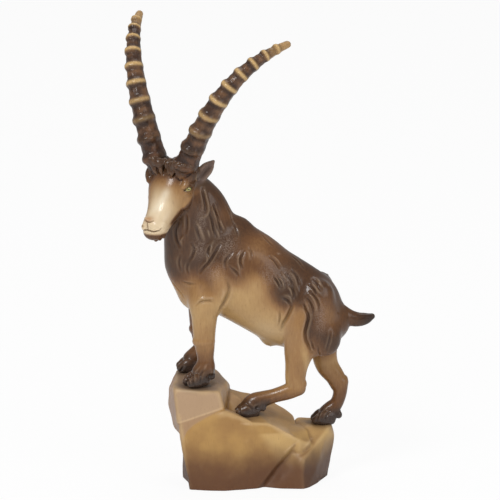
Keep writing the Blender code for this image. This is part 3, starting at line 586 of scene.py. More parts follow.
def refineFace(obj):
    # the muzzle and the eyes get a skin twice as fine
    near = nearFace(surfaceOf(obj.data)[0])
    bm = bmesh.new()
    bm.from_mesh(obj.data)
    bm.verts.ensure_lookup_table()
    edges = [edge for edge in bm.edges if near[edge.verts[0].index] and near[edge.verts[1].index]]
    bmesh.ops.subdivide_edges(bm, edges=edges, cuts=1, use_grid_fill=True, smooth=0.6)
    bmesh.ops.triangulate(bm, faces=[face for face in bm.faces if len(face.verts) > 4])
    bm.to_mesh(obj.data)
    bm.free()


def surfaceOf(mesh):
    points = np.empty(len(mesh.vertices) * 3)
    mesh.vertices.foreach_get("co", points)
    normals = np.empty(len(mesh.vertices) * 3)
    mesh.vertices.foreach_get("normal", normals)
    return points.reshape(-1, 3) / mm, normals.reshape(-1, 3)


def distanceTo(points, path):
    # distance of the points near a path, and how far along it the nearest place lies; far points stay at 99
    path = np.asarray(path)
    low, high = path.min(axis=0) - 6, path.max(axis=0) + 6
    near = np.nonzero(((points > low) & (points < high)).all(axis=1))[0]
    best, along = np.full(len(near), 99.0), np.zeros(len(near))
    spans = len(path) - 1
    for i in range(spans):
        start, run = path[i], path[i + 1] - path[i]
        share = np.clip((points[near] - start) @ run / max(run @ run, 1e-9), 0, 1)
        gap = np.linalg.norm(points[near] - start - share[:, None] * run, axis=1)
        nearer = gap < best
        best[nearer] = gap[nearer]
        along[nearer] = (i + share[nearer]) / spans
    return near, best, along


def smoothstep(value, low, high):
    t = np.clip((value - low) / (high - low), 0, 1)
    return t * t * (3 - 2 * t)


def bell(value):
    return np.exp(-value ** 2)


def patch(across, up, spot):
    # a soft oval, 1 in its middle: the middle's two places, then its half length and half height
    middle, high, halfLength, halfHeight = spot
    return np.exp(-((across - middle) / halfLength) ** 2 - ((up - high) / halfHeight) ** 2)


def tapered(along, end, power=1.0):
    # fades a stroke at both of its ends
    return np.sin(np.pi * np.clip(along, end, 1 - end)) ** power


def raiseTo(values, near, found):
    values[near] = np.maximum(values[near], found)


def flankPath(skin, way, side):
    path = []
    for x, z, _ in smoothRows([(x, z, 0) for x, z in np.reshape(way, (-1, 2))], 6):
        hit = skin.ray_cast(Vector((x, side * 80, z)) * mm, Vector((0, -side, 0)))[0]
        if hit is not None and (not path or abs(hit.y / mm - path[-1][1]) < 6):
            path.append(np.array(hit) / mm)
    return path


def skinPath(skin, points, steps=6):
    rows = smoothRows([tuple(point) for point in points], steps)
    return [np.array(skin.find_nearest(Vector(row) * mm)[0]) / mm for row in rows]


def carve(obj):
    points, normals = surfaceOf(obj.data)
    skin = BVHTree.FromPolygons([Vector(point) * mm for point in points],
                                [tuple(face.vertices) for face in obj.data.polygons])
    cuts = []
    for depth, width, *way in coatCuts:
        for side in (-1, 1):
            path = flankPath(skin, way, side)
            if len(path) > 2:
                cuts.append((path, width * coatCutScale["width"], depth * coatCutScale["depth"]))
    for width, depth, *way in footCuts:
        path = flankPath(skin, way, -1)
        if len(path) > 1:
            cuts.append((path, width, depth))
    for side in (1, -1):
        front = [earPoint(side, share) + 2.5 * earHollow(side) for share in (0.15, 0.4, 0.65, 0.9)]
        cuts.append((skinPath(skin, front), 1.9, 1.6))
    cutStainAndHollowShade, paintedRidgeHighlight, faceLine = np.zeros((3, len(points)))
    for width, depth, *way in faceCuts:
        path = skinPath(skin, [onHead(*place) for place in np.reshape(way, (-1, 3))])
        cuts.append((path, width, depth))
        near, gap, along = distanceTo(points, path)
        raiseTo(faceLine, near, bell(gap / width) * tapered(along, 0.1, 0.4))
    moved = points.copy()
    for side in (1, -1):
        gap, _ = lidGap(side, points)
        sink = smoothstep(-gap, -0.25, 0.35) * 1.35 - 0.3 * bell((gap - 0.55) / 0.4)
        moved -= np.array(eyeLine(side, "gaze")) * sink[:, None]
    for path, width, depth in cuts:
        near, gap, along = distanceTo(points, path)
        taper = tapered(along, 0.04, 0.6)
        inner = bell(gap / width) * taper
        lip = bell((gap - 2.1 * width) / width) * taper
        moved[near] += normals[near] * (((0.3 * lip if depth > 0 else 0) - inner) * depth)[:, None]
        # the lips beside a cut and the top of a raised lock get a pale painted highlight; a cut gets its dark
        # stain inside
        if depth > 0:
            raiseTo(cutStainAndHollowShade, near, inner * min(depth, 1.2))
            raiseTo(paintedRidgeHighlight, near, lip * 0.45)
        else:
            raiseTo(paintedRidgeHighlight, near, inner)
    obj.data.vertices.foreach_set("co", (moved * mm).ravel())
    obj.data.update()
    setMasks(obj, {"cutStainAndHollowShade": cutStainAndHollowShade, "paintedRidgeHighlight": paintedRidgeHighlight, "faceLine": faceLine})


def setMasks(obj, masks):
    for name, values in masks.items():
        layer = obj.data.attributes.get(name) or obj.data.attributes.new(name, "FLOAT", "POINT")
        layer.data.foreach_set("value", np.asarray(values, np.float32))


def getMask(obj, name):
    values = np.empty(len(obj.data.vertices), np.float32)
    obj.data.attributes[name].data.foreach_get("value", values)
    return values.astype(float)


def hollowness(obj, passes):
    # how far every point lies below (+) or above (-) its neighbours, rubbed out over a few passes
    points, normals = surfaceOf(obj.data)
    edges = np.empty(len(obj.data.edges) * 2, np.int64)
    obj.data.edges.foreach_get("vertices", edges)
    a, b = edges.reshape(-1, 2).T
    count = np.bincount(a, minlength=len(points)) + np.bincount(b, minlength=len(points))

    def spread(values):
        total = np.bincount(a, values[b], len(points)) + np.bincount(b, values[a], len(points))
        return total / np.maximum(count, 1)

    mean = points.copy()
    for _ in range(passes):
        mean = np.stack([spread(mean[:, k]) for k in range(3)], axis=1)
    return spread(((mean - points) * normals).sum(axis=1))


# Paint of the animal: heights of the line between dark coat and tan belly, along the side view
coatLine = {
    "x": (-70, -52, -40, -25, -6, 3, 12, 20, 27, 33, 37, 50, 62),
    "z": (132, 132, 132, 131, 132, 130, 124, 116, 108, 98, 88, 80, 80),
    "soft": 15.0,
}
# airbrushed patches on the flanks: x, z, half length, half height, how much darker (+) or lighter (-)
coatPatches = (
    (7, 146, 15, 8, -0.32), (2, 154, 10, 6, -0.22), (20, 157, 20, 5, -0.2), (48, 112, 7, 12, -0.3),
    (40, 117, 6, 7, -0.14), (-15, 172, 6, 8, -0.2), (-46, 146, 6, 9, -0.1), (-42, 132, 9, 9, 0.28),
    (-24, 158, 7, 14, 0.14), (-19, 136, 6, 10, -0.16), (-5, 128, 10, 8, -0.16), (24, 126, 7, 10, 0.1),
    (-44, 164, 6, 8, -0.08), (56, 100, 8, 14, -0.14), (16, 115, 7, 8, 0.08), (7, 134, 11, 6, -0.26),
    (-37, 120, 9, 7, 0.12), (48, 92, 9, 9, 0.2), (50, 107, 6, 8, -0.14), (-27, 88, 9, 12, 0.12),
    (32, 78, 7, 9, -0.08), (-28, 98, 8, 12, 0.16), (30, 84, 8, 14, -0.06),
)
# pale painted highlights standing for the shine of the varnish on the near flank: x, z, half length, half
# height
paintedHighlightSpots = (
    (-30, 171, 3, 8), (-14, 154, 6, 7), (-21, 138, 5, 6), (11, 135, 5, 6), (22, 134, 5, 5),
    (44, 109, 3.5, 9), (-31, 152, 4, 6), (29, 150, 7, 3),
)
# the light spot in front of the haunch and the nostril, as the patches above
bellySpot = (8, 97, 13, 9)
noseSpot = (35.4, -2.2, 1.9, 3.6)


def paintMasks(obj):
    points, normals = surfaceOf(obj.data)
    x, y, z = points.T
    forward, left, up = inHead(points)
    shares, *profile = np.transpose(headProfile)
    rise, deep, wide = (np.interp(forward / head["length"], shares, row) for row in profile)
    reach = np.sqrt(((up - rise) / deep) ** 2 + (left / (wide * head["halfWidth"])) ** 2)
    onFace = smoothstep(-reach, -1.5, -1.22) * (forward > -8) * (z > 155)
    wander = np.sin(x * 0.31 + z * 0.17) * 2.0 + np.sin(x * 0.13 - z * 0.23 + 2) * 2.0
    line = np.interp(x, coatLine["x"], coatLine["z"])
    coat = 0.95 * smoothstep(z - line + wander, -coatLine["soft"], coatLine["soft"])
    # painted highlights on the near flank
    paintedHighlight = np.maximum.reduce([patch(x, z, spot) * (y < 0) for spot in paintedHighlightSpots])
    for *spot, change in coatPatches:
        coat += change * patch(x, z, spot)
    # the thigh of the near hind leg stays tan up to its groin, the haunch behind it is dark
    groin = smoothstep(-np.abs(x - np.interp(z, (60, 90, 105, 118), (31, 26, 28, 30))) + 0.5, -7.5, -3.5)
    groin *= smoothstep(-z, -121, -110) * smoothstep(-y, -4, 4)
    coat = coat * (1 - groin) + 0.30 * groin
    # lower legs darken towards the hooves, and the far side under the chest, with the far front leg, is
    # darkened with painted shade
    frontLeg = smoothstep(-x, 8, 14) * smoothstep(x, -60, -50) * smoothstep(-z, -104, -72)
    hindLow = smoothstep(x, -12, -8) * smoothstep(-z, -74, -50) * (x < 42)
    farHind = smoothstep(x, 40, 44) * smoothstep(-z, -90, -40)
    shade = smoothstep(y, -4, 5) * smoothstep(-z, -124, -112) * smoothstep(-x, 10, 22)
    coat = np.maximum.reduce([coat, 0.78 * frontLeg, 0.75 * hindLow, 0.8 * farHind, 0.7 * shade])
    hoof = np.zeros(len(points))
    for heel, toward, ground in hooves:
        fromHeel = points - np.array(heel)
        ahead = fromHeel[:, 0] * toward.x + fromHeel[:, 1] * toward.y
        sideways = np.abs(-fromHeel[:, 0] * toward.y + fromHeel[:, 1] * toward.x)
        height = z - ground
        nearFoot = (ahead > -9) & (ahead < 18) & (sideways < 11)
        edge = 6.2 - 0.34 * np.clip(ahead, -4, 14)
        hoof = np.maximum(hoof, nearFoot * smoothstep(-(height - edge), -3.6, 0.8))
        coat = np.maximum(coat, 0.92 * nearFoot * smoothstep(-height, -19, -9))
    # the face: brown under the horns, tan at the sides, cream down to the lips
    muzzle = smoothstep(forward, 30, 35) * smoothstep(-np.abs(left + 1), -12, -8) * smoothstep(up, -13, -9.5)
    # the cream is the face's own paint; its middle lies 1.5 mm towards the near side, which adds painted
    # light to that side of the face
    cream = smoothstep(forward, 11, 26) * smoothstep(-np.abs(left - 1.5), -11.5, -3.0)
    cream = np.maximum(cream, muzzle) * onFace
    cream = np.maximum(cream, 0.32 * patch(x, z, bellySpot) * (z > 80))
    fromHorns = forward + 3.0 * smoothstep(left, 9, 13) - 3.0 * smoothstep(-left, 5, 11)
    brow = np.interp(fromHorns, (-5, 4, 7.5, 10.5, 13.5, 17.5, 24), (1.0, 0.95, 0.82, 0.54, 0.36, 0.25, 0.16))
    jaw = smoothstep(-up, 3.4, 6.6) * smoothstep(-forward, -34, -30)
    coat = coat * (1 - onFace) + onFace * np.maximum(brow, 0.85 * jaw)
    beard = smoothstep(-z, -165.8, -163.6) * smoothstep(-y, 16, 20) * smoothstep(-x, 44, 48)
    cream *= 1 - jaw
    cream *= 1 - beard
    coat = np.maximum(coat, 0.8 * beard)
    # the rim of the lids, the light on the bridge of the nose, the nostril and the hollow of the ears
    lash, ear = np.zeros((2, len(points)))
    for side in (1, -1):
        gap, rise = lidGap(side, points)
        rim = bell((gap - 0.2) / 0.5) * np.where(rise > 0, 1.0, 0.65)
        lash = np.maximum.reduce([lash, rim, (gap < -0.1) * 1.0])
        spine = [np.array(earPoint(side, part)) for part in (0.05, 0.35, 0.65, 0.92)]
        near, gap, _ = distanceTo(points, spine)
        facing = normals[near] @ np.array(earHollow(side).normalized())
        raiseTo(ear, near, smoothstep(-gap, -5.2, -3.4) * smoothstep(facing, 0.25, 0.7))
    ridge = bell((left - np.interp(forward, (16, 31), (4.6, -0.8))) / 2.3) * (up > 0)
    ridge *= smoothstep(forward, 13, 19) * smoothstep(-forward, -33, -27)
    nose = patch(forward, left, noseSpot) * (up > -1)
    hollow = hollowness(obj, 5)
    # dark stain in the gouge cuts, and painted shade added in every hollow
    cut = np.clip(getMask(obj, "cutStainAndHollowShade") + smoothstep(hollow, 0.05, 0.30) * 0.7, 0, 1)
    # pale painted highlight on the ridges, with more of it on every bulge
    ridgeHighlight = np.clip(getMask(obj, "paintedRidgeHighlight") * 0.8 + smoothstep(-hollow, 0.06, 0.32) * 0.4, 0, 1)
    setMasks(obj, {
        "coat": coat, "cream": cream, "hoof": hoof, "lash": lash, "ear": ear, "nose": nose, "ridge": ridge,
        "paintedHighlight": paintedHighlight, "tailTip": smoothstep(x, 66, 75), "cutStainAndHollowShade": cut, "paintedRidgeHighlight": ridgeHighlight})


# Horns: lengths in millimetres, the other values as shares
horns = {
    "root": (9.5, 0, -1.7), "rise": 125.0, "droop": 0.243, "spread": 51.0, "sweep": 41.7, "gap": 5.2,
    "baseDepth": 8.0, "baseWidth": 6.7, "tip": 2.0, "pitch": 12.3, "pitchLoss": 0.42, "ridge": 2.2,
    "ridgeLoss": 0.45, "creaseDepth": 0.3, "backRidge": 0.10, "sideRidge": 0.85, "sides": 56, "rings": 560,
}


def buildHorn(side, name):
    root = onHead(*horns["root"])
    spine = np.array([
        root + hornAxes @ Vector((horns["sweep"] * t ** 3 - 2.0 * math.sin(math.pi * t),
                                  -side * (horns["gap"] + horns["spread"] * t ** 1.05),
                                  horns["rise"] * (t - horns["droop"] * t ** 3)))
        for t in np.linspace(0, 1, 400)])
    run = np.concatenate([[0], np.cumsum(np.linalg.norm(np.diff(spine, axis=0), axis=1))])
    length = run[-1]
    crests = []
    crest = horns["pitch"] * 1.5
    while crest < length - 5:
        crests.append((crest, horns["pitch"] * (1.0 - horns["pitchLoss"] * (crest / length) ** 2)))
        crest += crests[-1][1]

    def spot(place):
        return np.array([np.interp(place, run, spine[:, k]) for k in range(3)])

    front = np.array(hornAxes @ Vector((-1.0, 0.0, 0.25)))
    places = np.linspace(0, length, horns["rings"])
    angles = np.linspace(0, 2 * math.pi, horns["sides"], endpoint=False)
    facing = 0.5 + 0.5 * np.cos(angles)
    rings, bands, tips, creases = [], [], [], []
    for place in places:
        ahead = spot(min(place + 1.5, length)) - spot(max(place - 1.5, 0))
        tangent = ahead / np.linalg.norm(ahead)
        forward = front - tangent * tangent.dot(front)
        forward /= np.linalg.norm(forward)
        sideways = np.cross(tangent, forward)
        share = place / length
        slim = min(1 - share ** 1.9, 0.05 + 0.055 * place)
        depth = horns["tip"] + (horns["baseDepth"] - horns["tip"]) * slim
        width = horns["tip"] + (horns["baseWidth"] - horns["tip"]) * slim
        end = math.sqrt(max(0.0, 1 - max(0.0, (place - length + 2.0) / 2.0) ** 2))
        # each ring leans: the crest lies a little lower on the back of the horn
        lean = place - 0.9 * (1 - facing) * (1 - share) * 2.0
        bump, band, crease = np.zeros((3, len(angles)))
        for at, pitch in crests:
            off = (lean - at) / pitch
            fade = 1 - horns["ridgeLoss"] * at / length
            bump = np.maximum(bump, fade * np.exp(-np.abs((off - 0.04) / 0.22) ** 2.6))
            band = np.maximum(band, np.exp(-np.abs((off - 0.05) / 0.12) ** 2.6))
            crease = np.maximum(crease, bell((off + 0.25) / 0.12) + 0.7 * bell((off - 0.33) / 0.13))
        grip = horns["backRidge"] + (1 - horns["backRidge"]) * facing ** 1.2
        wave = 0.10 * np.sin(angles * 9 + place * 0.35) + 0.07 * np.sin(angles * 17 - place * 0.6)
        knob = bump * horns["ridge"] * grip - horns["creaseDepth"] * crease * grip + wave
        outward, aside = (depth + knob) * end, (width + knob * horns["sideRidge"]) * end
        rings.append(spot(place) + np.outer(outward * np.cos(angles), forward)
                     + np.outer(aside * np.sin(angles), sideways))
        bands.append(band * (0.03 + 0.97 * smoothstep(share, 0.24, 0.56)) * smoothstep(facing, 0.16, 0.55))
        tips.append(np.full(len(angles), smoothstep(share, 0.83, 0.93)))
        creases.append(crease * grip)
    bm = bmesh.new()
    loft(bm, rings)
    obj = meshObject(bm, name)
    # the last two values are for the points that close the ends
    setMasks(obj, {mask: np.concatenate([*rows, [rows[0].mean(), rows[-1].mean()]])
                   for mask, rows in (("band", bands), ("tip", tips), ("crease", creases))})
    setMasks(obj, {"alongHorn": np.concatenate([np.repeat(places / length, len(angles)), [0.0, 1.0]])})
    return obj


# The rock: millimetres, degrees and passes of sanding
rock = {"rounding": 1.3, "facetAngle": 9, "grid": 0.62, "sanding": 14}
# pale lines painted along facet edges of the near side as highlights: x and z of the start, then of the end
rockHighlightLines = (
    (11.8, 42.2, 26.5, 33), (21.5, 23, 30.5, 29.5), (-5.5, 43, 1, 42), (33, 24.5, 45, 33.5),
)


def boulder(name, corners):
    bm = bmesh.new()
    for corner in corners:
        bm.verts.new(Vector(corner) * mm)
    found = bmesh.ops.convex_hull(bm, input=bm.verts)
    loose = {item for item in found["geom_interior"] + found["geom_unused"]
             if isinstance(item, bmesh.types.BMVert)}
    bmesh.ops.delete(bm, geom=list(loose), context="VERTS")
    bmesh.ops.dissolve_limit(bm, angle_limit=math.radians(rock["facetAngle"]), verts=bm.verts, edges=bm.edges)
    bmesh.ops.bevel(bm, geom=bm.edges[:], offset=rock["rounding"] * mm, segments=2, profile=0.5,
                    affect="EDGES", clamp_overlap=True)
    bmesh.ops.triangulate(bm, faces=bm.faces)
    return meshObject(bm, name)


def frontLevel(y):
    return stand["frontTop"] + (y + stand["legTrack"]) * stand["frontTilt"] / (2 * stand["legTrack"])


def sawnOff(obj):
    # the rock cut flat at z = 0
    bm = bmesh.new()
    bm.from_mesh(obj.data)
    bpy.data.objects.remove(obj, do_unlink=True)
    everything = bm.verts[:] + bm.edges[:] + bm.faces[:]
    cut = bmesh.ops.bisect_plane(bm, geom=everything, plane_co=(0, 0, 0), plane_no=(0, 0, -1),
                                 clear_outer=True)
    rim = [item for item in cut["geom_cut"] if isinstance(item, bmesh.types.BMEdge)]
    bmesh.ops.edgeloop_fill(bm, edges=rim)
    return meshObject(bm, "rockBase")


def buildRock():
    # the blocks reach below z = 0, where the rock is sawn off
    top, ledge, rear, under = stand["frontTop"], stand["ledgeTop"], stand["rearTop"], -8
    front = boulder("frontBlock", (
        (-47.5, -20, frontLevel(-20)), (-32, -22.5, frontLevel(-22.5)),
        (-19, -20, frontLevel(-20) - 1.5), (-13.5, 6, top - 3.2),
        (-23, 21, frontLevel(21)), (-45.5, 19, frontLevel(19)),
        (-51, 2, top * 0.92), (-51, 4, top * 0.74), (-47.5, 0, top * 0.52), (-41.5, -5, top * 0.42),
        (-45, -24.5, top * 0.67), (-36, -25, top * 0.62), (-16, -23, top * 0.80),
        (-12, 24, top * 0.86), (-48, 21, top * 0.72), (-38, 22, top * 0.38), (-10, 20, top * 0.45),
    ))
    main = boulder("mainBlock", (
        (-9, -19, ledge + 2), (4, -24, ledge - 0.6), (12, -22.5, ledge - 1.4), (29.5, -16.8, ledge * 0.71),
        (-16, 8, top * 0.90), (-1, 21, ledge + 6), (15.5, 20, ledge + 1.5), (22, 16, ledge - 2),
        (27, 14, ledge - 6), (-36, -18, ledge * 0.72), (-42, -5, ledge * 0.62),
        (-42.3, 9, under), (-34, -21, under), (-19, -25, under), (-2, -22.5, under),
        (4, -16.5, under), (30, 6, under), (30, 24, under), (-38, 26, under), (-30, 24, ledge),
    ))
    middle = boulder("middleBlock", (
        (-44.5, -25, ledge - 1), (-15.5, -23.8, ledge + 7.1), (3.4, -24.2, ledge - 0.3),
        (-14, -15, ledge + 6.5), (-40, -8, ledge + 0.5), (-36.8, -24, under), (-19, -26.8, under),
        (-2.3, -22.8, under), (-36, 0, under), (-8, 0, under),
    ))
    low = boulder("rearBlock", (
        (34, 0, rear), (51, 2, rear), (29, 20, rear + 0.6), (49, 20, rear + 0.6),
        (53, 9, rear * 0.74), (50.5, 7, rear * 0.3), (47, 12, under), (33.5, -23.5, under),
        (15, -21.8, under), (3.5, -18.5, under), (39, -13, rear * 0.72), (33, -20.5, rear * 0.54),
        (28, -4, rear * 0.86), (21, -11, rear * 0.72), (46, 25, under), (10, 25, under),
    ))
    saddle = boulder("saddleBlock", (
        (25, -14, rear + 0.5), (29.5, -16.6, rear - 4.0), (35, -2, rear - 0.3), (38.5, -12.5, rear - 8),
        (22, -4, rear + 2), (20, -13, rear - 8), (30, 8, rear - 0.5), (31, -17.5, 20), (38, 0, 22),
    ))
    for other in (front, middle, low, saddle):
        union = main.modifiers.new("joined", "BOOLEAN")
        union.operation = "UNION"
        union.solver = "EXACT"
        union.object = other
        main = settled(main)
        bpy.data.objects.remove(other, do_unlink=True)
    soft = remeshed(main, rock["grid"], rock["sanding"], "sandedRock")
    points, normals = surfaceOf(soft.data)
    for i, point in enumerate(points):
        place = Vector(point)
        wobble = noise.noise(place * 0.055) * 0.8 + noise.noise(place * 0.16 + Vector((7, 3, 1))) * 0.3
        points[i] += normals[i] * wobble
    soft.data.vertices.foreach_set("co", (points * mm).ravel())
    soft.data.update()
    hollow = hollowness(soft, 14)
    # pale painted highlight on the rounded edges, painted shade in the valleys between the blocks
    setMasks(soft, {"edge": smoothstep(-hollow, 0.05, 0.34), "valleyShade": smoothstep(hollow, 0.04, 0.30)})
    return paintRock(sawnOff(soft))


def paintRock(obj):
    points, normals = surfaceOf(obj.data)
    x, y, z = points.T
    # the front block ends at its joint with the main block; a pale line along its near edge is a painted
    # highlight, and the wedge below that line is darkened with painted shade
    join = np.interp(x, (-46, -41.5, -39, -34.7, -26, -17.4, -12), (20, 33, 38.5, 42.5, 47.6, 52, 54))
    block = smoothstep(-x, 10, 20) * smoothstep(z - join, -1.2, 1.2)
    facet = np.interp(x, (-44, -17.4), (43.3, 52.2))
    rim = bell((z - facet) / 0.55) * (y < -14) * (x > -45) * (x < -17)
    for startX, startZ, endX, endZ in rockHighlightLines:
        runX, runZ = endX - startX, endZ - startZ
        along = ((x - startX) * runX + (z - startZ) * runZ) / (runX ** 2 + runZ ** 2)
        along = np.clip(along, 0, 1)
        gap = np.hypot(x - startX - along * runX, z - startZ - along * runZ)
        rim = np.maximum(rim, bell(gap / 0.6) * tapered(along, 0.1) * (y < -6))
    # painted shadow of each hoof on the rock around its foot
    foot = np.zeros(len(z))
    for heel, toward, _ in hooves:
        gap = np.linalg.norm((points - np.array(heel + toward * 5.0)) / (12.0, 8.5, 6.0), axis=1)
        foot = np.maximum(foot, smoothstep(-gap, -1.25, -0.55))
    flat = smoothstep(normals[:, 2], 0.55, 0.9)
    setMasks(obj, {
        "facetHighlight": rim, "shadedWedge": (y < -14) * smoothstep(facet - z, -0.4, 0.6) * block,
        "frontBlock": block, "plateau": flat, "foot": foot,
        "westSide": smoothstep(-normals[:, 0], 0.35, 0.8), "eastSide": smoothstep(normals[:, 0], 0.3, 0.8),
        "rearBlock": smoothstep(x - 0.6 * (30 - z), 6, 14) * smoothstep(-z, -36.5, -34.5) * (1 - flat)})
    return obj


def buildEyeball(side, name):
    bm = bmesh.new()
    bmesh.ops.create_uvsphere(bm, u_segments=48, v_segments=32, radius=head["eyeball"] * mm)
    gaze = eyeLine(side, "gaze")
    turn = gaze.to_track_quat("Z", "Y").to_matrix().to_4x4()
    points = np.array([vert.co for vert in bm.verts]) / mm
    bmesh.ops.transform(bm, matrix=Matrix.Translation(eyePlace(side) * mm) @ turn, verts=bm.verts)
    obj = meshObject(bm, name)
    aside = np.hypot(points[:, 0], points[:, 1])
    aside[points[:, 2] < 0] = 9
    local = turn.to_3x3().inverted() @ eyeLine(side, "slit")
    # the pupil is long along the slit, and its edge lies where this measure is about 1
    across = np.abs(points[:, 0] * local.y - points[:, 1] * local.x) * 2.2
    setMasks(obj, {"fromPupil": aside,
                   "slit": across + np.abs(points[:, 0] * local.x + points[:, 1] * local.y) * 0.8})
    return obj


# Finishes. Colours as they look on the wood, 0 to 255, then the grain's relief, the varnish and its shine
# Among these colours, the pale ones laid on ridges, bulges and the near flank are painted highlights, and the
# darkest stain is also laid as painted shade in hollows
coatPaint = {
    "tan": (182, 147, 98), "honey": (152, 113, 70), "brown": (108, 72, 42), "dark": (70, 45, 27),
    "cream": (220, 198, 164), "ear": (128, 104, 92), "ridgeHighlight": (196, 168, 138), "hoof": (58, 46, 40),
    "tailTip": (34, 24, 22), "stain": (38, 25, 18), "ridge": (238, 226, 202), "nose": (180, 134, 92),
    "faceLine": (104, 72, 50), "paintedHighlight": (172, 152, 138), "lash": (42, 32, 20), "pores": (60, 40, 30),
    "tones": (("tan", 0.0), ("honey", 0.34), ("brown", 0.68), ("dark", 1.0)),
    "cloudScale": 60.0, "fibreScale": 900.0, "fibre": 0.22, "fibreRough": 0.6, "speckScale": 1500.0,
    "rough": 0.33, "relief": 0.22, "varnish": 0.3, "varnishRough": 0.12, "specular": 0.25,
}


def woodNoise(start, paint):
    # the place on the piece, slow clouds in the stain, and fibres that run up the wood
    place = start.make("ShaderNodeTexCoord", out=3)
    stretch = (1.0, 1.0, paint["fibre"])
    fibres = start.make("ShaderNodeVectorMath", {"operation": "MULTIPLY"}, {0: place, 1: stretch})
    cloud = start.noise(place, paint["cloudScale"], 3.0, 0.55)
    return place, cloud, start.noise(fibres, paint["fibreScale"], 3.0, paint["fibreRough"])


def layered(colour, paint, layers):
    # each colour laid over the last by its mask, stains and painted highlights and shade alike
    for name, mask in layers:
        colour = mask.blend(colour, stain(*paint[name]))
    return colour


def varnished(material, start, paint, colour, rough, grain):
    bump = start.make("ShaderNodeBump", values={
        "Strength": paint["relief"], "Distance": 0.0003, "Height": grain})
    surface = start.make("ShaderNodeBsdfPrincipled", values={
        "Base Color": colour, "Roughness": rough.clamp(), "Normal": bump,
        "Coat Weight": paint["varnish"], "Coat Roughness": paint["varnishRough"],
        "Specular IOR Level": paint["specular"]})
    finishMaterial(start, surface)
    return material


def coatMaterial():
    material, start = newMaterial("paintedCoat")
    place, cloud, fine = woodNoise(start, coatPaint)
    speck = start.noise(place, coatPaint["speckScale"], 2.0, 0.6)
    tone = (start.mask("coat") + 0.04 + (cloud - 0.5) * 0.3 + (fine - 0.5) * 0.3).clamp()
    stops = [(at, stain(*coatPaint[name])) for name, at in coatPaint["tones"]]
    colour = tone.make("ShaderNodeValToRGB", {"stops": stops}, {0: tone})
    cream = (start.mask("cream") + (cloud - 0.5) * 0.10).clamp()
    # pale painted highlight on the ridges and bulges
    ridgeHighlight = (start.mask("paintedRidgeHighlight") * (cloud + 0.35)).clamp()
    hoof = start.mask("hoof")
    # dark stain in the cuts and painted shade in the hollows
    cut = (start.mask("cutStainAndHollowShade") * (0.62 + cloud * 0.5)).clamp()
    colour = layered(colour, coatPaint, (
        ("cream", cream),
        ("ear", start.mask("ear") * 0.75),
        ("ridgeHighlight", ridgeHighlight * (0.3 - cream * 0.25)),
        ("hoof", (hoof * 0.92 + (fine - 0.5) * 0.2 * hoof).clamp()),
        ("tailTip", start.mask("tailTip") * 0.7),
        ("stain", cut * 0.42),
        ("ridge", start.mask("ridge") * 0.55),
        ("nose", start.mask("nose") * 0.85),
        ("faceLine", start.mask("faceLine") * 0.72),
        # speckled painted highlight on the near flank
        ("paintedHighlight", start.mask("paintedHighlight") * speck.ease(0.35, 0.75) * 0.45),
        ("lash", start.mask("lash") * 0.9),
        ("pores", fine.ease(0.6, 0.85) * 0.28),
    ))
    rough = coatPaint["rough"] + (speck - 0.5) * 0.24 + cut * 0.22 - hoof * 0.06
    return varnished(material, start, coatPaint, colour, rough, fine * 0.5 + speck * 0.5)


hornPaint = {
    "dark": (66, 45, 33), "brown": (122, 88, 60), "rootDark": (50, 34, 27), "rootBrown": (104, 68, 46),
    "tip": (176, 140, 92), "band": (196, 162, 110), "crease": (38, 26, 21),
    "cloudScale": 140.0, "fibreScale": 1100.0, "fibre": 0.3, "fibreRough": 0.6,
    "rough": 0.32, "relief": 0.25, "varnish": 0.2, "varnishRough": 0.14, "specular": 0.25,
}


def hornMaterial():
    material, start = newMaterial("paintedHorn")
    _, cloud, fine = woodNoise(start, hornPaint)
    upper = cloud.ease(0.35, 0.75).blend(stain(*hornPaint["dark"]), stain(*hornPaint["brown"]))
    root = cloud.ease(0.4, 0.7).blend(stain(*hornPaint["rootDark"]), stain(*hornPaint["rootBrown"]))
    colour = start.mask("alongHorn").ease(0.08, 0.42).blend(root, upper)
    band, tip = start.mask("band"), start.mask("tip")
    crease = start.mask("crease") * (1 - tip * 0.5)
    colour = layered(colour, hornPaint, (
        ("tip", tip * (0.72 + cloud * 0.3)),
        ("band", (band + (fine - 0.5) * 0.5 * band).clamp()),
        ("crease", (crease * 0.6).clamp()),
    ))
    rough = hornPaint["rough"] + (fine - 0.5) * 0.2 + crease * 0.15
    return varnished(material, start, hornPaint, colour, rough, fine)


# Among these colours, the pale line and edge colours are painted highlights, and the dark colours for the
# wedge, the valleys, the side faces and the ground under the hooves are painted shade and shadow
rockPaint = {
    "gold": (182, 142, 82), "ochre": (160, 120, 70), "pale": (204, 168, 110), "pink": (178, 148, 118),
    "grey": (142, 118, 96), "clay": (150, 116, 92), "red": (98, 62, 38), "sideShade": (56, 36, 28),
    "shadedWedge": (160, 124, 88), "rim": (214, 182, 142), "edge": (208, 176, 128), "valleyShade": (100, 68, 46),
    "foot": (70, 54, 44), "pores": (96, 66, 44), "darkeningTop": -35.0, "darkeningFull": -7.0,
    "cloudScale": 45.0, "fibreScale": 1300.0, "fibre": 0.16, "fibreRough": 0.65,
    "rough": 0.46, "relief": 0.3, "varnish": 0.1, "varnishRough": 0.3, "specular": 0.35,
}


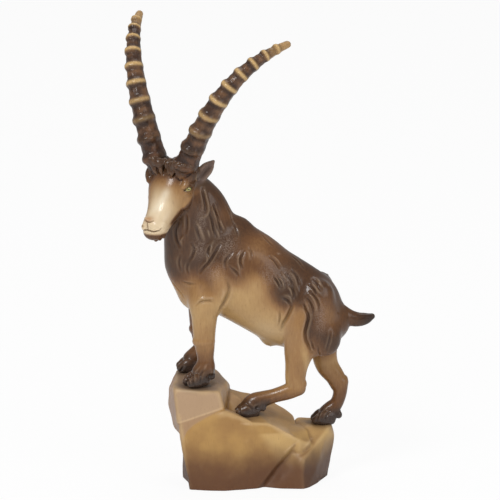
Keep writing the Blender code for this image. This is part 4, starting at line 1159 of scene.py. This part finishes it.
def rockMaterial():
    material, start = newMaterial("paintedRock")
    place, cloud, weave = woodNoise(start, rockPaint)
    high = start.make("ShaderNodeSeparateXYZ", values={0: place}, out=2)
    block, west = start.mask("frontBlock"), start.mask("westSide")
    # the rock darkens towards its foot, growing downwards by millimetres below zero height
    depth = high * -1000.0 + (cloud - 0.5) * 16.0
    low = depth.ease(rockPaint["darkeningTop"], rockPaint["darkeningFull"]) * (1 - block)
    colour = layered(stain(*rockPaint["gold"]), rockPaint, (
        ("ochre", cloud.ease(0.3, 0.7)),
        ("pale", start.mask("rearBlock") * 0.8),
        ("pink", block * 0.9),
        ("grey", start.mask("plateau") * (0.3 + block * 0.5)),
        ("clay", west * block * 0.8),
        ("red", low * 0.96),
        # painted shade on the side faces near the foot of the rock
        ("sideShade", (west + start.mask("eastSide")).clamp() * low * 0.45),
        # painted shade under the front block's near edge
        ("shadedWedge", start.mask("shadedWedge") * 0.6),
        # pale painted highlight lines along facet edges
        ("rim", start.mask("facetHighlight") * 0.6),
        # pale painted highlight on the rounded edges
        ("edge", start.mask("edge") * (0.42 - low * 0.34)),
        # painted shade in the valleys
        ("valleyShade", start.mask("valleyShade") * 0.42),
        # painted shadow around the hooves
        ("foot", start.mask("foot") * (0.35 + cloud * 0.45)),
        ("pores", weave.ease(0.55, 0.8) * 0.25),
    ))
    return varnished(material, start, rockPaint, colour, rockPaint["rough"] + (weave - 0.5) * 0.25, weave)


eyePaint = {
    "iris": (172, 162, 92), "irisRim": (118, 104, 44), "lidShade": (40, 30, 20), "pupil": (16, 13, 12),
}


def eyeMaterial():
    material, start = newMaterial("paintedEye")
    aside = start.mask("fromPupil")
    colour = layered(stain(*eyePaint["iris"]), eyePaint, (
        ("irisRim", aside.ease(0.9, 1.9)), ("lidShade", aside.ease(1.75, 2.25))))
    colour = start.mask("slit").ease(0.75, 1.05).blend(stain(*eyePaint["pupil"]), colour)
    surface = start.make("ShaderNodeBsdfPrincipled", values={
        "Base Color": colour, "Roughness": 0.15, "Coat Weight": 0.6, "Coat Roughness": 0.05})
    finishMaterial(start, surface)
    return material


# Stage: a pale floor, soft lights and the camera of the photograph, in metres, degrees and watts
studio = {
    "distance": 5.0, "elevation": 14.0, "aimHeight": 0.1476, "viewWidth": 0.310, "filmWidth": 36.0,
    "worldLight": 0.38, "floorHalf": 3.0, "floorDrop": 0.0002, "floorGrey": 0.93, "floorGlow": 0.92,
    "lampAim": (0, 0, 0.14),
}
# name, place, size, power
lamps = (
    ("keyLight", (-0.7, -1.3, 1.5), 0.6, 20.0),
    ("fillLight", (1.3, -1.2, 0.8), 1.0, 7.0),
    ("topLight", (0.1, 0.5, 1.6), 0.9, 6.0),
)


def areaLight(name, place, size, power):
    lamp = bpy.data.lights.new(name, "AREA")
    lamp.shape = "SQUARE"
    lamp.size = size
    lamp.energy = power
    obj = link(bpy.data.objects.new(name, lamp))
    obj.location = place
    toward = Vector(studio["lampAim"]) - Vector(place)
    obj.rotation_euler = toward.to_track_quat("-Z", "Y").to_euler()


def buildWorld():
    world = bpy.data.worlds.new("studioWorld")
    scene.world = world
    world.use_nodes = True
    world.node_tree.nodes.clear()
    start = Wire(world.node_tree)
    seen = start.make("ShaderNodeLightPath")
    light, white = (start.make("ShaderNodeBackground", values={"Color": (1, 1, 1, 1), "Strength": strength})
                    for strength in (studio["worldLight"], 1.0))
    both = start.make("ShaderNodeMixShader", values={0: seen, 1: light, 2: white})
    out = world.node_tree.nodes.new("ShaderNodeOutputWorld")
    world.node_tree.links.new(both.socket, out.inputs["Surface"])


def buildFloor():
    bm = bmesh.new()
    bmesh.ops.create_grid(bm, x_segments=1, y_segments=1, size=studio["floorHalf"])
    floor = meshObject(bm, "floor")
    floor.location.z = -studio["floorDrop"]
    material, start = newMaterial("paleFloor")
    matt = start.make("ShaderNodeBsdfPrincipled", values={
        "Base Color": (*[studio["floorGrey"]] * 3, 1), "Roughness": 0.7})
    glow = start.make("ShaderNodeEmission", values={"Color": (1, 1, 1, 1), "Strength": 1.0})
    share = start.make("ShaderNodeLightPath") * studio["floorGlow"]
    finishMaterial(start, start.make("ShaderNodeMixShader", values={0: share, 1: matt, 2: glow}))
    floor.data.materials.append(material)


def buildCamera():
    lens = bpy.data.cameras.new("photoCamera")
    lens.sensor_width = studio["filmWidth"]
    lens.lens = studio["filmWidth"] * studio["distance"] / studio["viewWidth"]
    lens.clip_end = 100.0
    camera = link(bpy.data.objects.new("photoCamera", lens))
    tilt = math.radians(studio["elevation"])
    camera.location = (0, -studio["distance"] * math.cos(tilt),
                       studio["aimHeight"] + studio["distance"] * math.sin(tilt))
    camera.rotation_euler = (math.radians(90 - studio["elevation"]), 0, 0)
    scene.camera = camera
    scene.view_settings.view_transform = "Standard"


def finish(obj, material):
    obj.data.materials.clear()
    obj.data.materials.append(material)
    for face in obj.data.polygons:
        face.use_smooth = True
    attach(obj, "root")
    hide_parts("ibex_figurine")


print("animal: one skin over the masses")
body = buildAnimal()
print("animal: gouge cuts")
refineFace(body)
carve(body)
spare = body.vertex_groups.new(name="spare")
for vert, close in zip(body.data.vertices, nearFace(surfaceOf(body.data)[0])):
    spare.add([vert.index], 0.0 if close else 1.0, "REPLACE")
thin = body.modifiers.new("fewerFaces", "DECIMATE")
thin.vertex_group = "spare"
thin.ratio = min(1.0, animal["mostTriangles"] / (2 * len(body.data.polygons)))
body = settled(body)
print("animal: paint", len(body.data.polygons))
paintMasks(body)
coatFinish = coatMaterial()
finish(body, coatFinish)
print("horns")
hornFinish = hornMaterial()
finish(buildHorn(1, "nearHorn"), hornFinish)
finish(buildHorn(-1, "farHorn"), hornFinish)
print("rock")
finish(buildRock(), rockMaterial())
print("eyes")
eyeFinish = eyeMaterial()
finish(buildEyeball(1, "nearEye"), eyeFinish)
finish(buildEyeball(-1, "farEye"), eyeFinish)
print("stage")
buildWorld()
buildFloor()
for lamp in lamps:
    areaLight(*lamp)
buildCamera()
